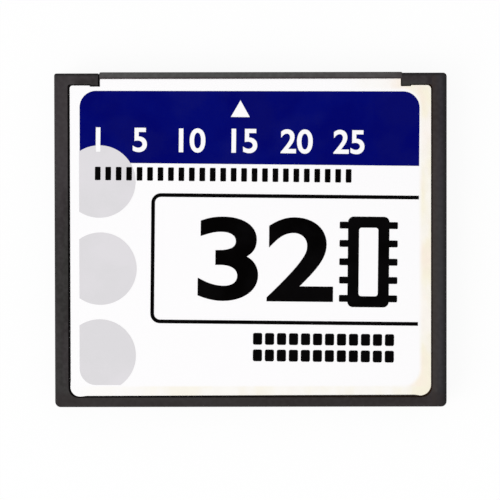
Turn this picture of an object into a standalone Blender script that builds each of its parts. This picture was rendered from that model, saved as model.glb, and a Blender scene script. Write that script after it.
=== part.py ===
"""A 50-contact flash memory card, built from the separate pieces it is assembled from.

The card lies flat on its back with the printed face up. The origin is at the middle of its
underside, +X runs to the right of the printed face, +Y towards the connector edge and +Z up.
All lengths are in metres.
"""

import math

import bmesh
import bpy
from mathutils import Matrix, Vector

# Card envelope
CARD_WIDTH = 0.0428
FRAME_LENGTH = 0.0364
CARD_THICKNESS = 0.0033
REAR_CORNER_RADIUS = 0.0005
FRONT_CORNER_RADIUS = 0.00025
EDGE_ROUND = 0.00015

# Frame rim as seen from above, and the ledge inside it that carries each cover
SIDE_RIM = 0.00156
REAR_RIM = 0.00111
ARM_DEPTH = 0.00125
ARM_TIP_STEP = 0.00011
ARM_TIP_LENGTH = 0.0009
LEDGE_WIDTH = 0.0007
CAVITY_CORNER_RADIUS = 0.0005

# Covers and label, counted down from the rim's top face
PANEL_RECESS = 0.00036
PANEL_REAR_RADIUS = 0.00105
PANEL_FRONT_RADIUS = 0.00045
PANEL_GAP = 0.00012
SHEET_THICKNESS = 0.00015
LABEL_THICKNESS = 0.0001
SEAT_GAP = 0.00003

# Folded tabs on the long sides of each cover
TAB_LENGTH = 0.003
TAB_DEPTH = 0.0008
TAB_SPACING = 0.0165
TAB_OFFSET_Y = -0.0008
TAB_CLEARANCE = 0.00006
TAB_INSET = 0.00003

# Guide grooves along the card's sides, wide on the left and narrow on the right
GROOVE_DEPTH = 0.00101
GROOVE_LENGTH = 0.02578
WIDE_GROOVE = 0.0016
NARROW_GROOVE = 0.00099
GROOVE_LEAD_IN = 0.0006
GROOVE_FLARE = 0.0002

# Connector housing
CONTACT_COLUMNS = 25
CONTACT_PITCH = 0.00127
ROW_PITCH = 0.00127
CAVITY_SIZE = 0.0008
MOUTH_SIZE = 0.0009
THROAT_SIZE = 0.0006
MOUTH_DEPTH = 0.0003
THROAT_DEPTH = 0.0004
END_WALL = 0.00096
LEAST_EAR = 0.002
HOUSING_DEPTH = 0.0058
LIP_DEPTH = 0.00071
LIP_PROUD = 0.00015
LIP_CHAMFER = 0.00008
HOUSING_GAP = 0.00005
KEY_LENGTH = 0.001
KEY_WIDTH = 0.0006
KEY_HEIGHT = 0.0018
KEY_SETBACK = 0.0022
EAR_RADIUS = 0.0003

# Fork contacts, seen from the side
FORK_TIP_GAP = 0.00015
FORK_FLARE = 0.0004
FORK_MOUTH = 0.00046
FORK_PINCH = 0.00026
FORK_ROOT = 0.0004
PRONG_HEIGHT = 0.00014
CONTACT_WIDTH = 0.0003
FORK_BASE_LENGTH = 0.0013
FORK_BASE_SETBACK = 0.0009
TAIL_HEIGHT = 0.00015
TAIL_DROP = 0.0004
FOOT_LENGTH = 0.0011

# Circuit board and the small parts soldered to it
BOARD_THICKNESS = 0.0004
BOARD_GAP = 0.0001
BOARD_SIDE_GAP = 0.0002
BOARD_CORNER_RADIUS = 0.0006
REST_WIDTH = 0.001
REST_LENGTH = 0.0025
REST_HEIGHT = 0.0006
REST_FRONT_SETBACK = 0.0004
REST_REAR_SETBACK = 0.002
CAPACITOR_LENGTH = 0.001
CAPACITOR_WIDTH = 0.0005
CAPACITOR_HEIGHT = 0.0005
CAPACITOR_PITCH = 0.0016
CAPACITOR_COUNT = 8
CRYSTAL_LENGTH = 0.0032
CRYSTAL_WIDTH = 0.0025
CRYSTAL_HEIGHT = 0.0008

# Chips
CHIP_STANDOFF = 0.00005
CHIP_HEADROOM = 0.00007
FLASH_LENGTH = 0.0184
FLASH_WIDTH = 0.012
FLASH_LEADS = 24
FLASH_LEAD_PITCH = 0.0005
LEAD_WIDTH = 0.0002
LEAD_THICKNESS = 0.00012
LEAD_REACH = 0.0008
LEAD_ROOT = 0.0002
LEAD_SHOULDER = 0.0002
LEAD_SLOPE = 0.0002
FLASH_SPACING = 0.016
CONTROLLER_SIZE = 0.010
CHIP_MARGIN = 0.001
CHIP_CHAMFER = 0.00012
PIN_MARK_DIAMETER = 0.0009
PIN_MARK_DEPTH = 0.00008
PIN_MARK_INSET = 0.0013

# Printed fields on the label, each a thin layer of ink
INK_THICKNESS = 0.00002
PRINT_LEFT_MARGIN = 0.00104
PRINT_RIGHT_MARGIN = 0.00132
PRINT_TOP_MARGIN = 0.000525
PRINT_BOTTOM_MARGIN = 0.001035
PRINT_CORNER_RADIUS = 0.0018
BAND_HEIGHT = 0.00796
ARROW_X = -0.00112
ARROW_WIDTH = 0.00225
ARROW_HEIGHT = 0.00172
ARROW_FROM_TOP = 0.0012
DISC_RADIUS = 0.004
DISC_FROM_LEFT = 0.00218
DISC_FROM_TOP = 0.01003
DISC_SPACING = 0.0095
DISC_COUNT = 3
PRINT_MARGIN = 0.00005
RULE_WIDTH = 0.0004
RULE_FROM_LEFT = 0.0078
RULE_FROM_TOP = 0.01125
RULE_HEIGHT = 0.0142
RULE_CORNER_RADIUS = 0.00105

# Drawing and cutting
ARC_STEP = math.radians(15)
SHARP_ANGLE = math.radians(40)
EDGE_SEGMENTS = 2
DISC_SEGMENTS = 48
PIN_MARK_SEGMENTS = 16
CUT_PAST = 0.0005
CUT_PAST_MOUTH = 0.00005
JOIN_OVERLAP = 0.0003
WELD = 1e-7

# Places worked out from the sizes above
OVERALL_LENGTH = FRAME_LENGTH + LIP_PROUD
REAR_Y = -OVERALL_LENGTH / 2
CONNECTOR_FACE_Y = OVERALL_LENGTH / 2
FRAME_FRONT_Y = CONNECTOR_FACE_Y - LIP_PROUD
ARM_BACK_Y = FRAME_FRONT_Y - ARM_DEPTH
LIP_BACK_Y = CONNECTOR_FACE_Y - LIP_DEPTH
HOUSING_BACK_Y = CONNECTOR_FACE_Y - HOUSING_DEPTH
PANEL_HALF_WIDTH = CARD_WIDTH / 2 - SIDE_RIM
PANEL_REAR_Y = REAR_Y + REAR_RIM
CAVITY_HALF_WIDTH = PANEL_HALF_WIDTH - LEDGE_WIDTH
CAVITY_REAR_Y = PANEL_REAR_Y + LEDGE_WIDTH
CAVITY_MARGIN = CAVITY_SIZE / 2 + END_WALL
COLUMN_ROOM = 2 * (CAVITY_HALF_WIDTH - LEAST_EAR - CAVITY_MARGIN)
COLUMN_COUNT = min(CONTACT_COLUMNS, 1 + math.floor(COLUMN_ROOM / CONTACT_PITCH))
FIRST_COLUMN_X = -(COLUMN_COUNT - 1) / 2 * CONTACT_PITCH
HOUSING_HALF_WIDTH = CAVITY_MARGIN - FIRST_COLUMN_X
GATE_HALF_WIDTH = HOUSING_HALF_WIDTH + HOUSING_GAP
MIDDLE_Z = CARD_THICKNESS / 2
LEDGE_Z = CARD_THICKNESS - PANEL_RECESS
COVER_Z = LEDGE_Z + SEAT_GAP
LABEL_Z = COVER_Z + SHEET_THICKNESS + SEAT_GAP
BOARD_TOP_Z = MIDDLE_Z + BOARD_THICKNESS / 2
BOARD_FRONT_Y = HOUSING_BACK_Y - BOARD_GAP
BOARD_REAR_Y = CAVITY_REAR_Y + BOARD_SIDE_GAP
BOARD_HALF_WIDTH = CAVITY_HALF_WIDTH - BOARD_SIDE_GAP
CHIP_HEIGHT = COVER_Z - BOARD_TOP_Z - CHIP_STANDOFF - CHIP_HEADROOM
CHIP_FIELD_FRONT_Y = BOARD_FRONT_Y - TAIL_DROP - FOOT_LENGTH
KEY_Y = ARM_BACK_Y - KEY_SETBACK
PRINT_LEFT = PANEL_GAP + PRINT_LEFT_MARGIN - PANEL_HALF_WIDTH
PRINT_RIGHT = PANEL_HALF_WIDTH - PANEL_GAP - PRINT_RIGHT_MARGIN
PRINT_TOP = ARM_BACK_Y - PANEL_GAP - PRINT_TOP_MARGIN
PRINT_BOTTOM = PANEL_REAR_Y + PANEL_GAP + PRINT_BOTTOM_MARGIN
DISC_X = PRINT_LEFT + DISC_FROM_LEFT
DISC_TOP_Y = PRINT_TOP - DISC_FROM_TOP
RULE_LEFT = PRINT_LEFT + RULE_FROM_LEFT
RULE_TOP = PRINT_TOP - RULE_FROM_TOP
TAB_OUTER = PANEL_HALF_WIDTH - PANEL_GAP - TAB_INSET
TAB_PLACES = {"rear": TAB_OFFSET_Y - TAB_SPACING / 2, "front": TAB_OFFSET_Y + TAB_SPACING / 2}


def finish(name, colour, roughness, metallic=0.0):
    """A plain surface: linear colour, roughness and metallic value."""
    material = bpy.data.materials.new(name)
    material.use_nodes = True
    surface = material.node_tree.nodes["Principled BSDF"]
    surface.inputs["Base Color"].default_value = (*colour, 1.0)
    surface.inputs["Roughness"].default_value = roughness
    surface.inputs["Metallic"].default_value = metallic
    material.diffuse_color = (*colour, 1.0)
    return material


def rounded(corners):
    """The outline through corners (x, y, radius), with each radius drawn as an arc."""
    outline = []
    for index, (x, y, radius) in enumerate(corners):
        corner = Vector((x, y))
        if radius == 0:
            outline.append(corner)
            continue
        before = (Vector(corners[index - 1][:2]) - corner).normalized()
        after = (Vector(corners[(index + 1) % len(corners)][:2]) - corner).normalized()
        half_angle = before.angle(after) / 2
        centre = corner + (before + after).normalized() * radius / math.sin(half_angle)
        start = corner + before * radius / math.tan(half_angle) - centre
        sweep = math.copysign(math.pi - 2 * half_angle, after.cross(before))
        steps = max(1, round(abs(sweep) / ARC_STEP))
        outline += [centre + Matrix.Rotation(sweep * step / steps, 2) @ start for step in range(steps + 1)]
    return outline


def rectangle(left, rear, right, front, rear_radius=0.0, front_radius=0.0):
    """A rectangle with one radius at its rear corners and another at its front corners."""
    return rounded(
        [
            (left, rear, rear_radius),
            (right, rear, rear_radius),
            (right, front, front_radius),
            (left, front, front_radius),
        ]
    )


def well_outline(side, rear, rear_radius, front_radius, tongue_front, inset=0.0):
    """The T shape that the frame leaves open between its arms, drawn in by inset for what lies in it."""
    shoulder = ARM_BACK_Y - inset
    tip = shoulder - ARM_TIP_STEP
    right = [
        (side - inset, rear + inset, rear_radius),
        (side - inset, shoulder, front_radius),
        (GATE_HALF_WIDTH + ARM_TIP_LENGTH + inset, shoulder, 0),
        (GATE_HALF_WIDTH + ARM_TIP_LENGTH + inset, tip, 0),
        (GATE_HALF_WIDTH - inset, tip, 0),
        (GATE_HALF_WIDTH - inset, tongue_front - inset, 0),
    ]
    return rounded(right + [(-x, y, radius) for x, y, radius in reversed(right)])


def panel_outline(tongue_front, inset=0.0):
    """The well at the level of the covers and the label."""
    return well_outline(
        PANEL_HALF_WIDTH, PANEL_REAR_Y, PANEL_REAR_RADIUS, PANEL_FRONT_RADIUS, tongue_front, inset
    )


def finished_mesh(shape, name):
    """A mesh of what was modelled in shape, which is freed."""
    mesh = bpy.data.meshes.new(name)
    shape.to_mesh(mesh)
    shape.free()
    return mesh


def evaluated_mesh(obj):
    """The mesh that an object's modifiers make, with the points that meet welded."""
    graph = bpy.context.evaluated_depsgraph_get()
    mesh = bpy.data.meshes.new_from_object(obj.evaluated_get(graph))
    shape = bmesh.new()
    shape.from_mesh(mesh)
    bmesh.ops.remove_doubles(shape, verts=shape.verts, dist=WELD)
    shape.to_mesh(mesh)
    shape.free()
    return mesh


def plate_mesh(name, outline, low, high):
    """A flat outline, filled and extruded from height low to height high."""
    curve = bpy.data.curves.new(name, "CURVE")
    curve.dimensions = "2D"
    curve.fill_mode = "BOTH"
    curve.extrude = (high - low) / 2
    spline = curve.splines.new("POLY")
    spline.points.add(len(outline) - 1)
    for point, (x, y) in zip(spline.points, outline):
        point.co = (x, y, 0, 1)
    spline.use_cyclic_u = True
    drawing = bpy.data.objects.new(name + "_drawing", curve)
    bpy.context.scene.collection.objects.link(drawing)
    mesh = evaluated_mesh(drawing)
    bpy.data.objects.remove(drawing)
    mesh.transform(Matrix.Translation((0, 0, (low + high) / 2)))
    return mesh


def box_mesh(name, low, high):
    """A box between two opposite corners."""
    low, high = Vector(low), Vector(high)
    shape = bmesh.new()
    bmesh.ops.create_cube(shape, size=1.0)
    bmesh.ops.scale(shape, vec=high - low, verts=shape.verts)
    bmesh.ops.translate(shape, vec=(high + low) / 2, verts=shape.verts)
    return finished_mesh(shape, name)


def disc_mesh(name, x, y, radius, low, high, segments=DISC_SEGMENTS):
    """An upright cylinder from height low to height high."""
    shape = bmesh.new()
    bmesh.ops.create_cone(
        shape, cap_ends=True, segments=segments, radius1=radius, radius2=radius, depth=high - low
    )
    bmesh.ops.translate(shape, vec=(x, y, (low + high) / 2), verts=shape.verts)
    return finished_mesh(shape, name)


def collection(name):
    """The scene's collection of that name, made when it is first asked for."""
    found = bpy.data.collections.get(name)
    if found is None:
        found = bpy.data.collections.new(name)
        bpy.context.scene.collection.children.link(found)
    return found


def piece(name, mesh, material):
    """One finished sub-part of the card."""
    obj = bpy.data.objects.new(name, mesh)
    if not mesh.materials:
        mesh.materials.append(material)
    mesh.shade_smooth()
    mesh.set_sharp_from_angle(angle=SHARP_ANGLE)
    collection("memory_card").objects.link(obj)
    return obj


def tool(name, mesh, material=None):
    """A shape that is cut from, or joined to, a sub-part. It isn't part of the card by itself."""
    obj = bpy.data.objects.new(name, mesh)
    if material:
        mesh.materials.append(material)
    obj.hide_render = True
    obj.display_type = "WIRE"
    collection("cutters").objects.link(obj)
    return obj


def combine(target, operation, *tools):
    """Boolean steps that bring each tool, with its material, to the target."""
    for other in tools:
        step = target.modifiers.new(other.name, "BOOLEAN")
        step.operation = operation
        step.solver = "EXACT"
        step.material_mode = "TRANSFER"
        step.object = other


def cut(target, *tools):
    """Takes each tool's shape out of the target."""
    combine(target, "DIFFERENCE", *tools)


def join(target, *tools):
    """Fuses each tool's shape to the target."""
    combine(target, "UNION", *tools)


def repeat(obj, count, offset):
    """Copies of a tool in a straight row."""
    step = obj.modifiers.new("row", "ARRAY")
    step.count = count
    step.use_relative_offset = False
    step.use_constant_offset = True
    step.constant_offset_displace = offset


def chamfer(obj, width, segments=1):
    """Breaks every edge that turns by about a right angle."""
    step = obj.modifiers.new("edges", "BEVEL")
    step.width = width
    step.segments = segments
    step.limit_method = "ANGLE"
    step.angle_limit = SHARP_ANGLE


def both_sides(name, low, high):
    """Box tools at the right and, mirrored, at the left of the card."""
    (inner, rear, bottom), (outer, front, top) = low, high
    return [
        tool(name + "_right", box_mesh(name, (inner, rear, bottom), (outer, front, top))),
        tool(name + "_left", box_mesh(name, (-outer, rear, bottom), (-inner, front, top))),
    ]


def groove_tool(name, side, height):
    """A guide groove, open at the connector end, where it flares to lead the host's rail in."""
    outer = CARD_WIDTH / 2 + CUT_PAST
    inner = CARD_WIDTH / 2 - GROOVE_DEPTH
    rear = FRAME_FRONT_Y - GROOVE_LENGTH
    lead_in = FRAME_FRONT_Y - GROOVE_LEAD_IN
    shape = bmesh.new()
    bmesh.ops.create_cube(shape, size=1.0)
    bmesh.ops.scale(shape, vec=(outer - inner, lead_in - rear, height), verts=shape.verts)
    centre = ((outer + inner) / 2, (lead_in + rear) / 2, MIDDLE_Z)
    bmesh.ops.translate(shape, vec=centre, verts=shape.verts)
    front = [max(shape.faces, key=lambda face: face.normal.y)]
    grown = bmesh.ops.extrude_face_region(shape, geom=front)["geom"]
    bmesh.ops.delete(shape, geom=front, context="FACES_ONLY")
    mouth = [item for item in grown if isinstance(item, bmesh.types.BMVert)]
    run = GROOVE_LEAD_IN + CUT_PAST
    widened = 1 + 2 * GROOVE_FLARE * run / GROOVE_LEAD_IN / height
    bmesh.ops.translate(shape, vec=(0, run, 0), verts=mouth)
    middle = Matrix.Translation((0, 0, -MIDDLE_Z))
    bmesh.ops.scale(shape, vec=(1, 1, widened), space=middle, verts=mouth)
    if side < 0:
        turn = Matrix.Rotation(math.pi, 3, "Y")
        bmesh.ops.rotate(shape, matrix=turn, cent=(0, 0, MIDDLE_Z), verts=shape.verts)
    bmesh.ops.recalc_face_normals(shape, faces=shape.faces)
    return tool(name, finished_mesh(shape, name))


def build_frame(plastic):
    """The moulded frame: rim, ledges for the covers, arms round the connector, grooves and rests."""
    half = CARD_WIDTH / 2
    blank = rectangle(-half, REAR_Y, half, FRAME_FRONT_Y, REAR_CORNER_RADIUS, FRONT_CORNER_RADIUS)
    frame = piece("frame", plate_mesh("frame", blank, 0, CARD_THICKNESS), plastic)
    chamfer(frame, EDGE_ROUND, EDGE_SEGMENTS)

    past_front = FRAME_FRONT_Y + CUT_PAST
    well = well_outline(CAVITY_HALF_WIDTH, CAVITY_REAR_Y, CAVITY_CORNER_RADIUS, 0, past_front)
    recess = panel_outline(past_front)
    past_top = CARD_THICKNESS + CUT_PAST
    cut(
        frame,
        tool("well", plate_mesh("well", well, -CUT_PAST, past_top)),
        tool("upper_recess", plate_mesh("upper_recess", recess, LEDGE_Z, past_top)),
        tool("lower_recess", plate_mesh("lower_recess", recess, -CUT_PAST, PANEL_RECESS)),
        groove_tool("wide_groove", -1, WIDE_GROOVE),
        groove_tool("narrow_groove", 1, NARROW_GROOVE),
    )

    wall = CAVITY_HALF_WIDTH + JOIN_OVERLAP
    rest_top = MIDDLE_Z - BOARD_THICKNESS / 2 - SEAT_GAP
    for place, front in (
        ("front", BOARD_FRONT_Y - REST_FRONT_SETBACK),
        ("rear", BOARD_REAR_Y + REST_REAR_SETBACK + REST_LENGTH),
    ):
        low = (CAVITY_HALF_WIDTH - REST_WIDTH, front - REST_LENGTH, rest_top - REST_HEIGHT)
        join(frame, *both_sides(place + "_rest", low, (wall, front, rest_top)))
    key = KEY_LENGTH / 2
    low = (CAVITY_HALF_WIDTH - KEY_WIDTH, KEY_Y - key, MIDDLE_Z - KEY_HEIGHT / 2)
    join(frame, *both_sides("connector_key", low, (wall, KEY_Y + key, MIDDLE_Z + KEY_HEIGHT / 2)))

    reach = TAB_LENGTH / 2 + TAB_CLEARANCE
    inner = TAB_OUTER - SHEET_THICKNESS - TAB_CLEARANCE
    outer = TAB_OUTER + TAB_CLEARANCE
    drop = PANEL_RECESS + TAB_DEPTH
    for place, y in TAB_PLACES.items():
        for level, low, high in (
            ("upper", CARD_THICKNESS - drop, CARD_THICKNESS - PANEL_RECESS / 2),
            ("lower", PANEL_RECESS / 2, drop),
        ):
            name = f"{place}_{level}_pocket"
            cut(frame, *both_sides(name, (inner, y - reach, low), (outer, y + reach, high)))


def pin_hole_tool():
    """One pin hole, square all the way: a flared mouth, a throat and the contact's cavity behind it."""
    throat_y = -MOUTH_DEPTH
    cavity_y = throat_y - THROAT_DEPTH
    flare = (MOUTH_SIZE - THROAT_SIZE) / MOUTH_DEPTH
    stations = [
        (0.0, CUT_PAST_MOUTH),
        ((MOUTH_SIZE + flare * CUT_PAST_MOUTH) / 2, CUT_PAST_MOUTH),
        (THROAT_SIZE / 2, throat_y),
        (THROAT_SIZE / 2, cavity_y),
        (CAVITY_SIZE / 2, cavity_y),
        (CAVITY_SIZE / 2, -HOUSING_DEPTH - CUT_PAST),
        (0.0, -HOUSING_DEPTH - CUT_PAST),
    ]
    profile = bmesh.new()
    corners = [profile.verts.new((half * math.sqrt(2), y, 0)) for half, y in stations]
    for first, second in zip(corners, corners[1:]):
        profile.edges.new((first, second))
    hole = tool("pin_hole", finished_mesh(profile, "pin_hole"))
    turn = hole.modifiers.new("square_turn", "SCREW")
    turn.axis = "Y"
    turn.steps = turn.render_steps = 4
    turn.use_merge_vertices = True
    turn.merge_threshold = WELD
    turn.use_smooth_shade = False
    mesh = evaluated_mesh(hole)
    mesh.transform(Matrix.Rotation(math.pi / 4, 4, "Y"))
    hole.modifiers.clear()
    hole.data = mesh
    hole.location = (FIRST_COLUMN_X, CONNECTOR_FACE_Y, MIDDLE_Z - ROW_PITCH / 2)
    repeat(hole, COLUMN_COUNT, (CONTACT_PITCH, 0, 0))
    repeat(hole, 2, (0, 0, ROW_PITCH))
    return hole


def build_connector_housing(plastic):
    """The socket: a lip between the frame's arms, ears trapped behind them and two rows of pin holes."""
    ear = CAVITY_HALF_WIDTH - HOUSING_GAP
    ear_front = ARM_BACK_Y - ARM_TIP_STEP - HOUSING_GAP
    right = [
        (ear, HOUSING_BACK_Y, EAR_RADIUS),
        (ear, ear_front, EAR_RADIUS),
        (HOUSING_HALF_WIDTH, ear_front, 0),
        (HOUSING_HALF_WIDTH, CONNECTOR_FACE_Y, 0),
    ]
    outline = rounded(right + [(-x, y, radius) for x, y, radius in reversed(right)])
    mesh = plate_mesh("connector_housing", outline, 0, CARD_THICKNESS)
    housing = piece("connector_housing", mesh, plastic)
    weights = mesh.attributes.new("bevel_weight_edge", "FLOAT", "EDGE")
    for edge in mesh.edges:
        ends = [mesh.vertices[index].co.y for index in edge.vertices]
        weights.data[edge.index].value = float(min(ends) > CONNECTOR_FACE_Y - WELD)
    lip = housing.modifiers.new("lip_chamfer", "BEVEL")
    lip.limit_method = "WEIGHT"
    lip.width = LIP_CHAMFER
    lip.segments = 1

    past_side = CARD_WIDTH / 2
    past_rear = HOUSING_BACK_Y - CUT_PAST
    for name, low, high in (
        ("upper_step", LEDGE_Z, CARD_THICKNESS + CUT_PAST),
        ("lower_step", -CUT_PAST, PANEL_RECESS),
    ):
        step = box_mesh(name, (-past_side, past_rear, low), (past_side, LIP_BACK_Y, high))
        cut(housing, tool(name, step))
    notch = KEY_LENGTH / 2 + HOUSING_GAP
    low = (CAVITY_HALF_WIDTH - KEY_WIDTH - HOUSING_GAP, KEY_Y - notch, 0)
    high = (past_side, KEY_Y + notch, CARD_THICKNESS)
    cut(housing, *both_sides("key_notch", low, high))
    cut(housing, pin_hole_tool())


def contact_mesh():
    """A stamped fork seen from the side, y forward from the connector's face and z up from the
    card's middle: two prongs that pinch the pin, a base that fills the cavity, and a tail that
    steps down to a foot on the board."""
    row = ROW_PITCH / 2
    tip = -(MOUTH_DEPTH + THROAT_DEPTH + FORK_TIP_GAP)
    pinch = tip - FORK_FLARE
    base_rear = -(HOUSING_DEPTH - FORK_BASE_SETBACK)
    root = base_rear + FORK_BASE_LENGTH
    bend = -(HOUSING_DEPTH + BOARD_GAP)
    foot = bend - TAIL_DROP
    end = foot - FOOT_LENGTH
    base_half = CAVITY_SIZE / 2 - SEAT_GAP
    tail_half = TAIL_HEIGHT / 2
    foot_low = BOARD_THICKNESS / 2 + SEAT_GAP - row
    upper_prong = [
        (root, base_half),
        (pinch, FORK_PINCH / 2 + PRONG_HEIGHT),
        (tip, FORK_MOUTH / 2 + PRONG_HEIGHT),
        (tip, FORK_MOUTH / 2),
        (pinch, FORK_PINCH / 2),
        (root, FORK_ROOT / 2),
    ]
    lower_prong = [(y, -z) for y, z in reversed(upper_prong)]
    tail = [
        (base_rear, -base_half),
        (base_rear, -tail_half),
        (bend, -tail_half),
        (foot, foot_low),
        (end, foot_low),
        (end, foot_low + TAIL_HEIGHT),
        (foot, foot_low + TAIL_HEIGHT),
        (bend, tail_half),
        (base_rear, tail_half),
        (base_rear, base_half),
    ]
    side_view = [(y, z + row) for y, z in upper_prong + lower_prong + tail]
    mesh = plate_mesh("contact", side_view, -CONTACT_WIDTH / 2, CONTACT_WIDTH / 2)
    stand_up = Matrix(((0, 0, 1, 0), (1, 0, 0, 0), (0, 1, 0, 0), (0, 0, 0, 1)))
    mesh.transform(stand_up)
    return mesh


def build_contacts(plating):
    """Two contacts a column: the upper row has its feet on the board's upper face, and the lower
    row is the same stamping turned over."""
    mesh = contact_mesh()
    number = 0
    for turn in (0.0, math.pi):
        for column in range(COLUMN_COUNT):
            number += 1
            contact = piece(f"contact_{number:02d}", mesh, plating)
            contact.location = (FIRST_COLUMN_X + column * CONTACT_PITCH, CONNECTOR_FACE_Y, MIDDLE_Z)
            contact.rotation_euler = (0, turn, 0)


def build_circuit_board(laminate, ceramic, can_metal):
    """The board, with its small soldered parts fused to it."""
    half = BOARD_HALF_WIDTH
    radius = BOARD_CORNER_RADIUS
    outline = rectangle(-half, BOARD_REAR_Y, half, BOARD_FRONT_Y, radius, radius)
    low = MIDDLE_Z - BOARD_THICKNESS / 2
    board = piece("circuit_board", plate_mesh("circuit_board", outline, low, BOARD_TOP_Z), laminate)

    right = half - CHIP_MARGIN
    front = CHIP_FIELD_FRONT_Y - CHIP_MARGIN
    corner = (right - CAPACITOR_LENGTH, front - CAPACITOR_WIDTH, MIDDLE_Z)
    opposite = (right, front, BOARD_TOP_Z + CAPACITOR_HEIGHT)
    capacitors = tool("capacitors", box_mesh("capacitors", corner, opposite), ceramic)
    repeat(capacitors, CAPACITOR_COUNT, (-CAPACITOR_PITCH, 0, 0))

    rear = BOARD_REAR_Y + CHIP_MARGIN
    corner = (right - CRYSTAL_LENGTH, rear, MIDDLE_Z)
    opposite = (right, rear + CRYSTAL_WIDTH, BOARD_TOP_Z + CRYSTAL_HEIGHT)
    join(board, capacitors, tool("crystal", box_mesh("crystal", corner, opposite), can_metal))


def chip_body_tool(name, length, width, resin):
    """A moulded chip package, centred on the origin, with a dimple at its first pin."""
    low = (-length / 2, -width / 2, 0)
    body = tool(name, box_mesh(name, low, (length / 2, width / 2, CHIP_HEIGHT)), resin)
    chamfer(body, CHIP_CHAMFER)
    mark_x = PIN_MARK_INSET - length / 2
    mark_y = PIN_MARK_INSET - width / 2
    floor = CHIP_HEIGHT - PIN_MARK_DEPTH
    past_top = CHIP_HEIGHT + CUT_PAST
    mark = disc_mesh("mark", mark_x, mark_y, PIN_MARK_DIAMETER / 2, floor, past_top, PIN_MARK_SEGMENTS)
    cut(body, tool(name + "_mark", mark))
    return body


def lead_row_tool(name, turn, tin):
    """The gull-wing leads along one short end of a flash chip."""
    end = FLASH_LENGTH / 2
    shoulder = end + LEAD_SHOULDER
    heel = shoulder + LEAD_SLOPE
    toe = end + LEAD_REACH
    high = CHIP_HEIGHT / 2
    low = SEAT_GAP - CHIP_STANDOFF
    bend = LEAD_THICKNESS / 2
    side_view = [
        (end - LEAD_ROOT, high),
        (shoulder, high),
        (heel, low),
        (toe, low),
        (toe, low + LEAD_THICKNESS),
        (heel + bend, low + LEAD_THICKNESS),
        (shoulder + bend, high + LEAD_THICKNESS),
        (end - LEAD_ROOT, high + LEAD_THICKNESS),
    ]
    mesh = plate_mesh(name, side_view, -LEAD_WIDTH / 2, LEAD_WIDTH / 2)
    mesh.transform(Matrix.Rotation(math.pi / 2, 4, "X"))
    mesh.transform(Matrix.Translation((0, -(FLASH_LEADS - 1) / 2 * FLASH_LEAD_PITCH, 0)))
    row = tool(name, mesh, tin)
    row.rotation_euler = (0, 0, turn)
    repeat(row, FLASH_LEADS, (0, FLASH_LEAD_PITCH, 0))
    return row


def build_chips(resin, tin):
    """A flash chip and the controller above the board, and two flash chips below it. The flash
    chips stand with their leads towards the card's two ends."""
    flash = chip_body_tool("flash_chip", FLASH_LENGTH, FLASH_WIDTH, resin)
    join(flash, lead_row_tool("right_leads", 0, tin), lead_row_tool("left_leads", math.pi, tin))
    controller = chip_body_tool("controller", CONTROLLER_SIZE, CONTROLLER_SIZE, resin)
    flash_mesh = evaluated_mesh(flash)
    controller_mesh = evaluated_mesh(controller)

    above = BOARD_TOP_Z + CHIP_STANDOFF
    below = 2 * MIDDLE_Z - above
    edge = BOARD_HALF_WIDTH - CHIP_MARGIN
    middle_y = (BOARD_REAR_Y + CHIP_FIELD_FRONT_Y) / 2
    upper = piece("flash_chip_upper", flash_mesh, resin)
    upper.location = (FLASH_WIDTH / 2 - edge, middle_y, above)
    upper.rotation_euler = (0, 0, -math.pi / 2)
    chip = piece("controller_chip", controller_mesh, resin)
    chip.location = (edge - CONTROLLER_SIZE / 2, middle_y, above)
    for name, side in (("flash_chip_lower_left", -1), ("flash_chip_lower_right", 1)):
        lower = piece(name, flash_mesh, resin)
        lower.location = (side * FLASH_SPACING / 2, middle_y, below)
        lower.rotation_euler = (0, math.pi, math.pi / 2)


def build_covers(steel):
    """Two sheet-metal covers from one stamping, each with tabs folded down into the frame."""
    outline = panel_outline(LIP_BACK_Y, PANEL_GAP)
    upper = piece("top_cover", plate_mesh("cover", outline, COVER_Z, COVER_Z + SHEET_THICKNESS), steel)
    for place, y in TAB_PLACES.items():
        low = (TAB_OUTER - SHEET_THICKNESS, y - TAB_LENGTH / 2, LEDGE_Z - TAB_DEPTH + TAB_CLEARANCE)
        high = (TAB_OUTER, y + TAB_LENGTH / 2, COVER_Z + SHEET_THICKNESS / 2)
        join(upper, *both_sides(place + "_tab", low, high))
    mesh = evaluated_mesh(upper)
    mesh.transform(Matrix.Translation((0, 0, -MIDDLE_Z)))
    upper.modifiers.clear()
    upper.data = mesh
    upper.location = (0, 0, MIDDLE_Z)
    lower = piece("bottom_cover", mesh, steel)
    lower.location = (0, 0, MIDDLE_Z)
    lower.rotation_euler = (0, math.pi, 0)


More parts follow.
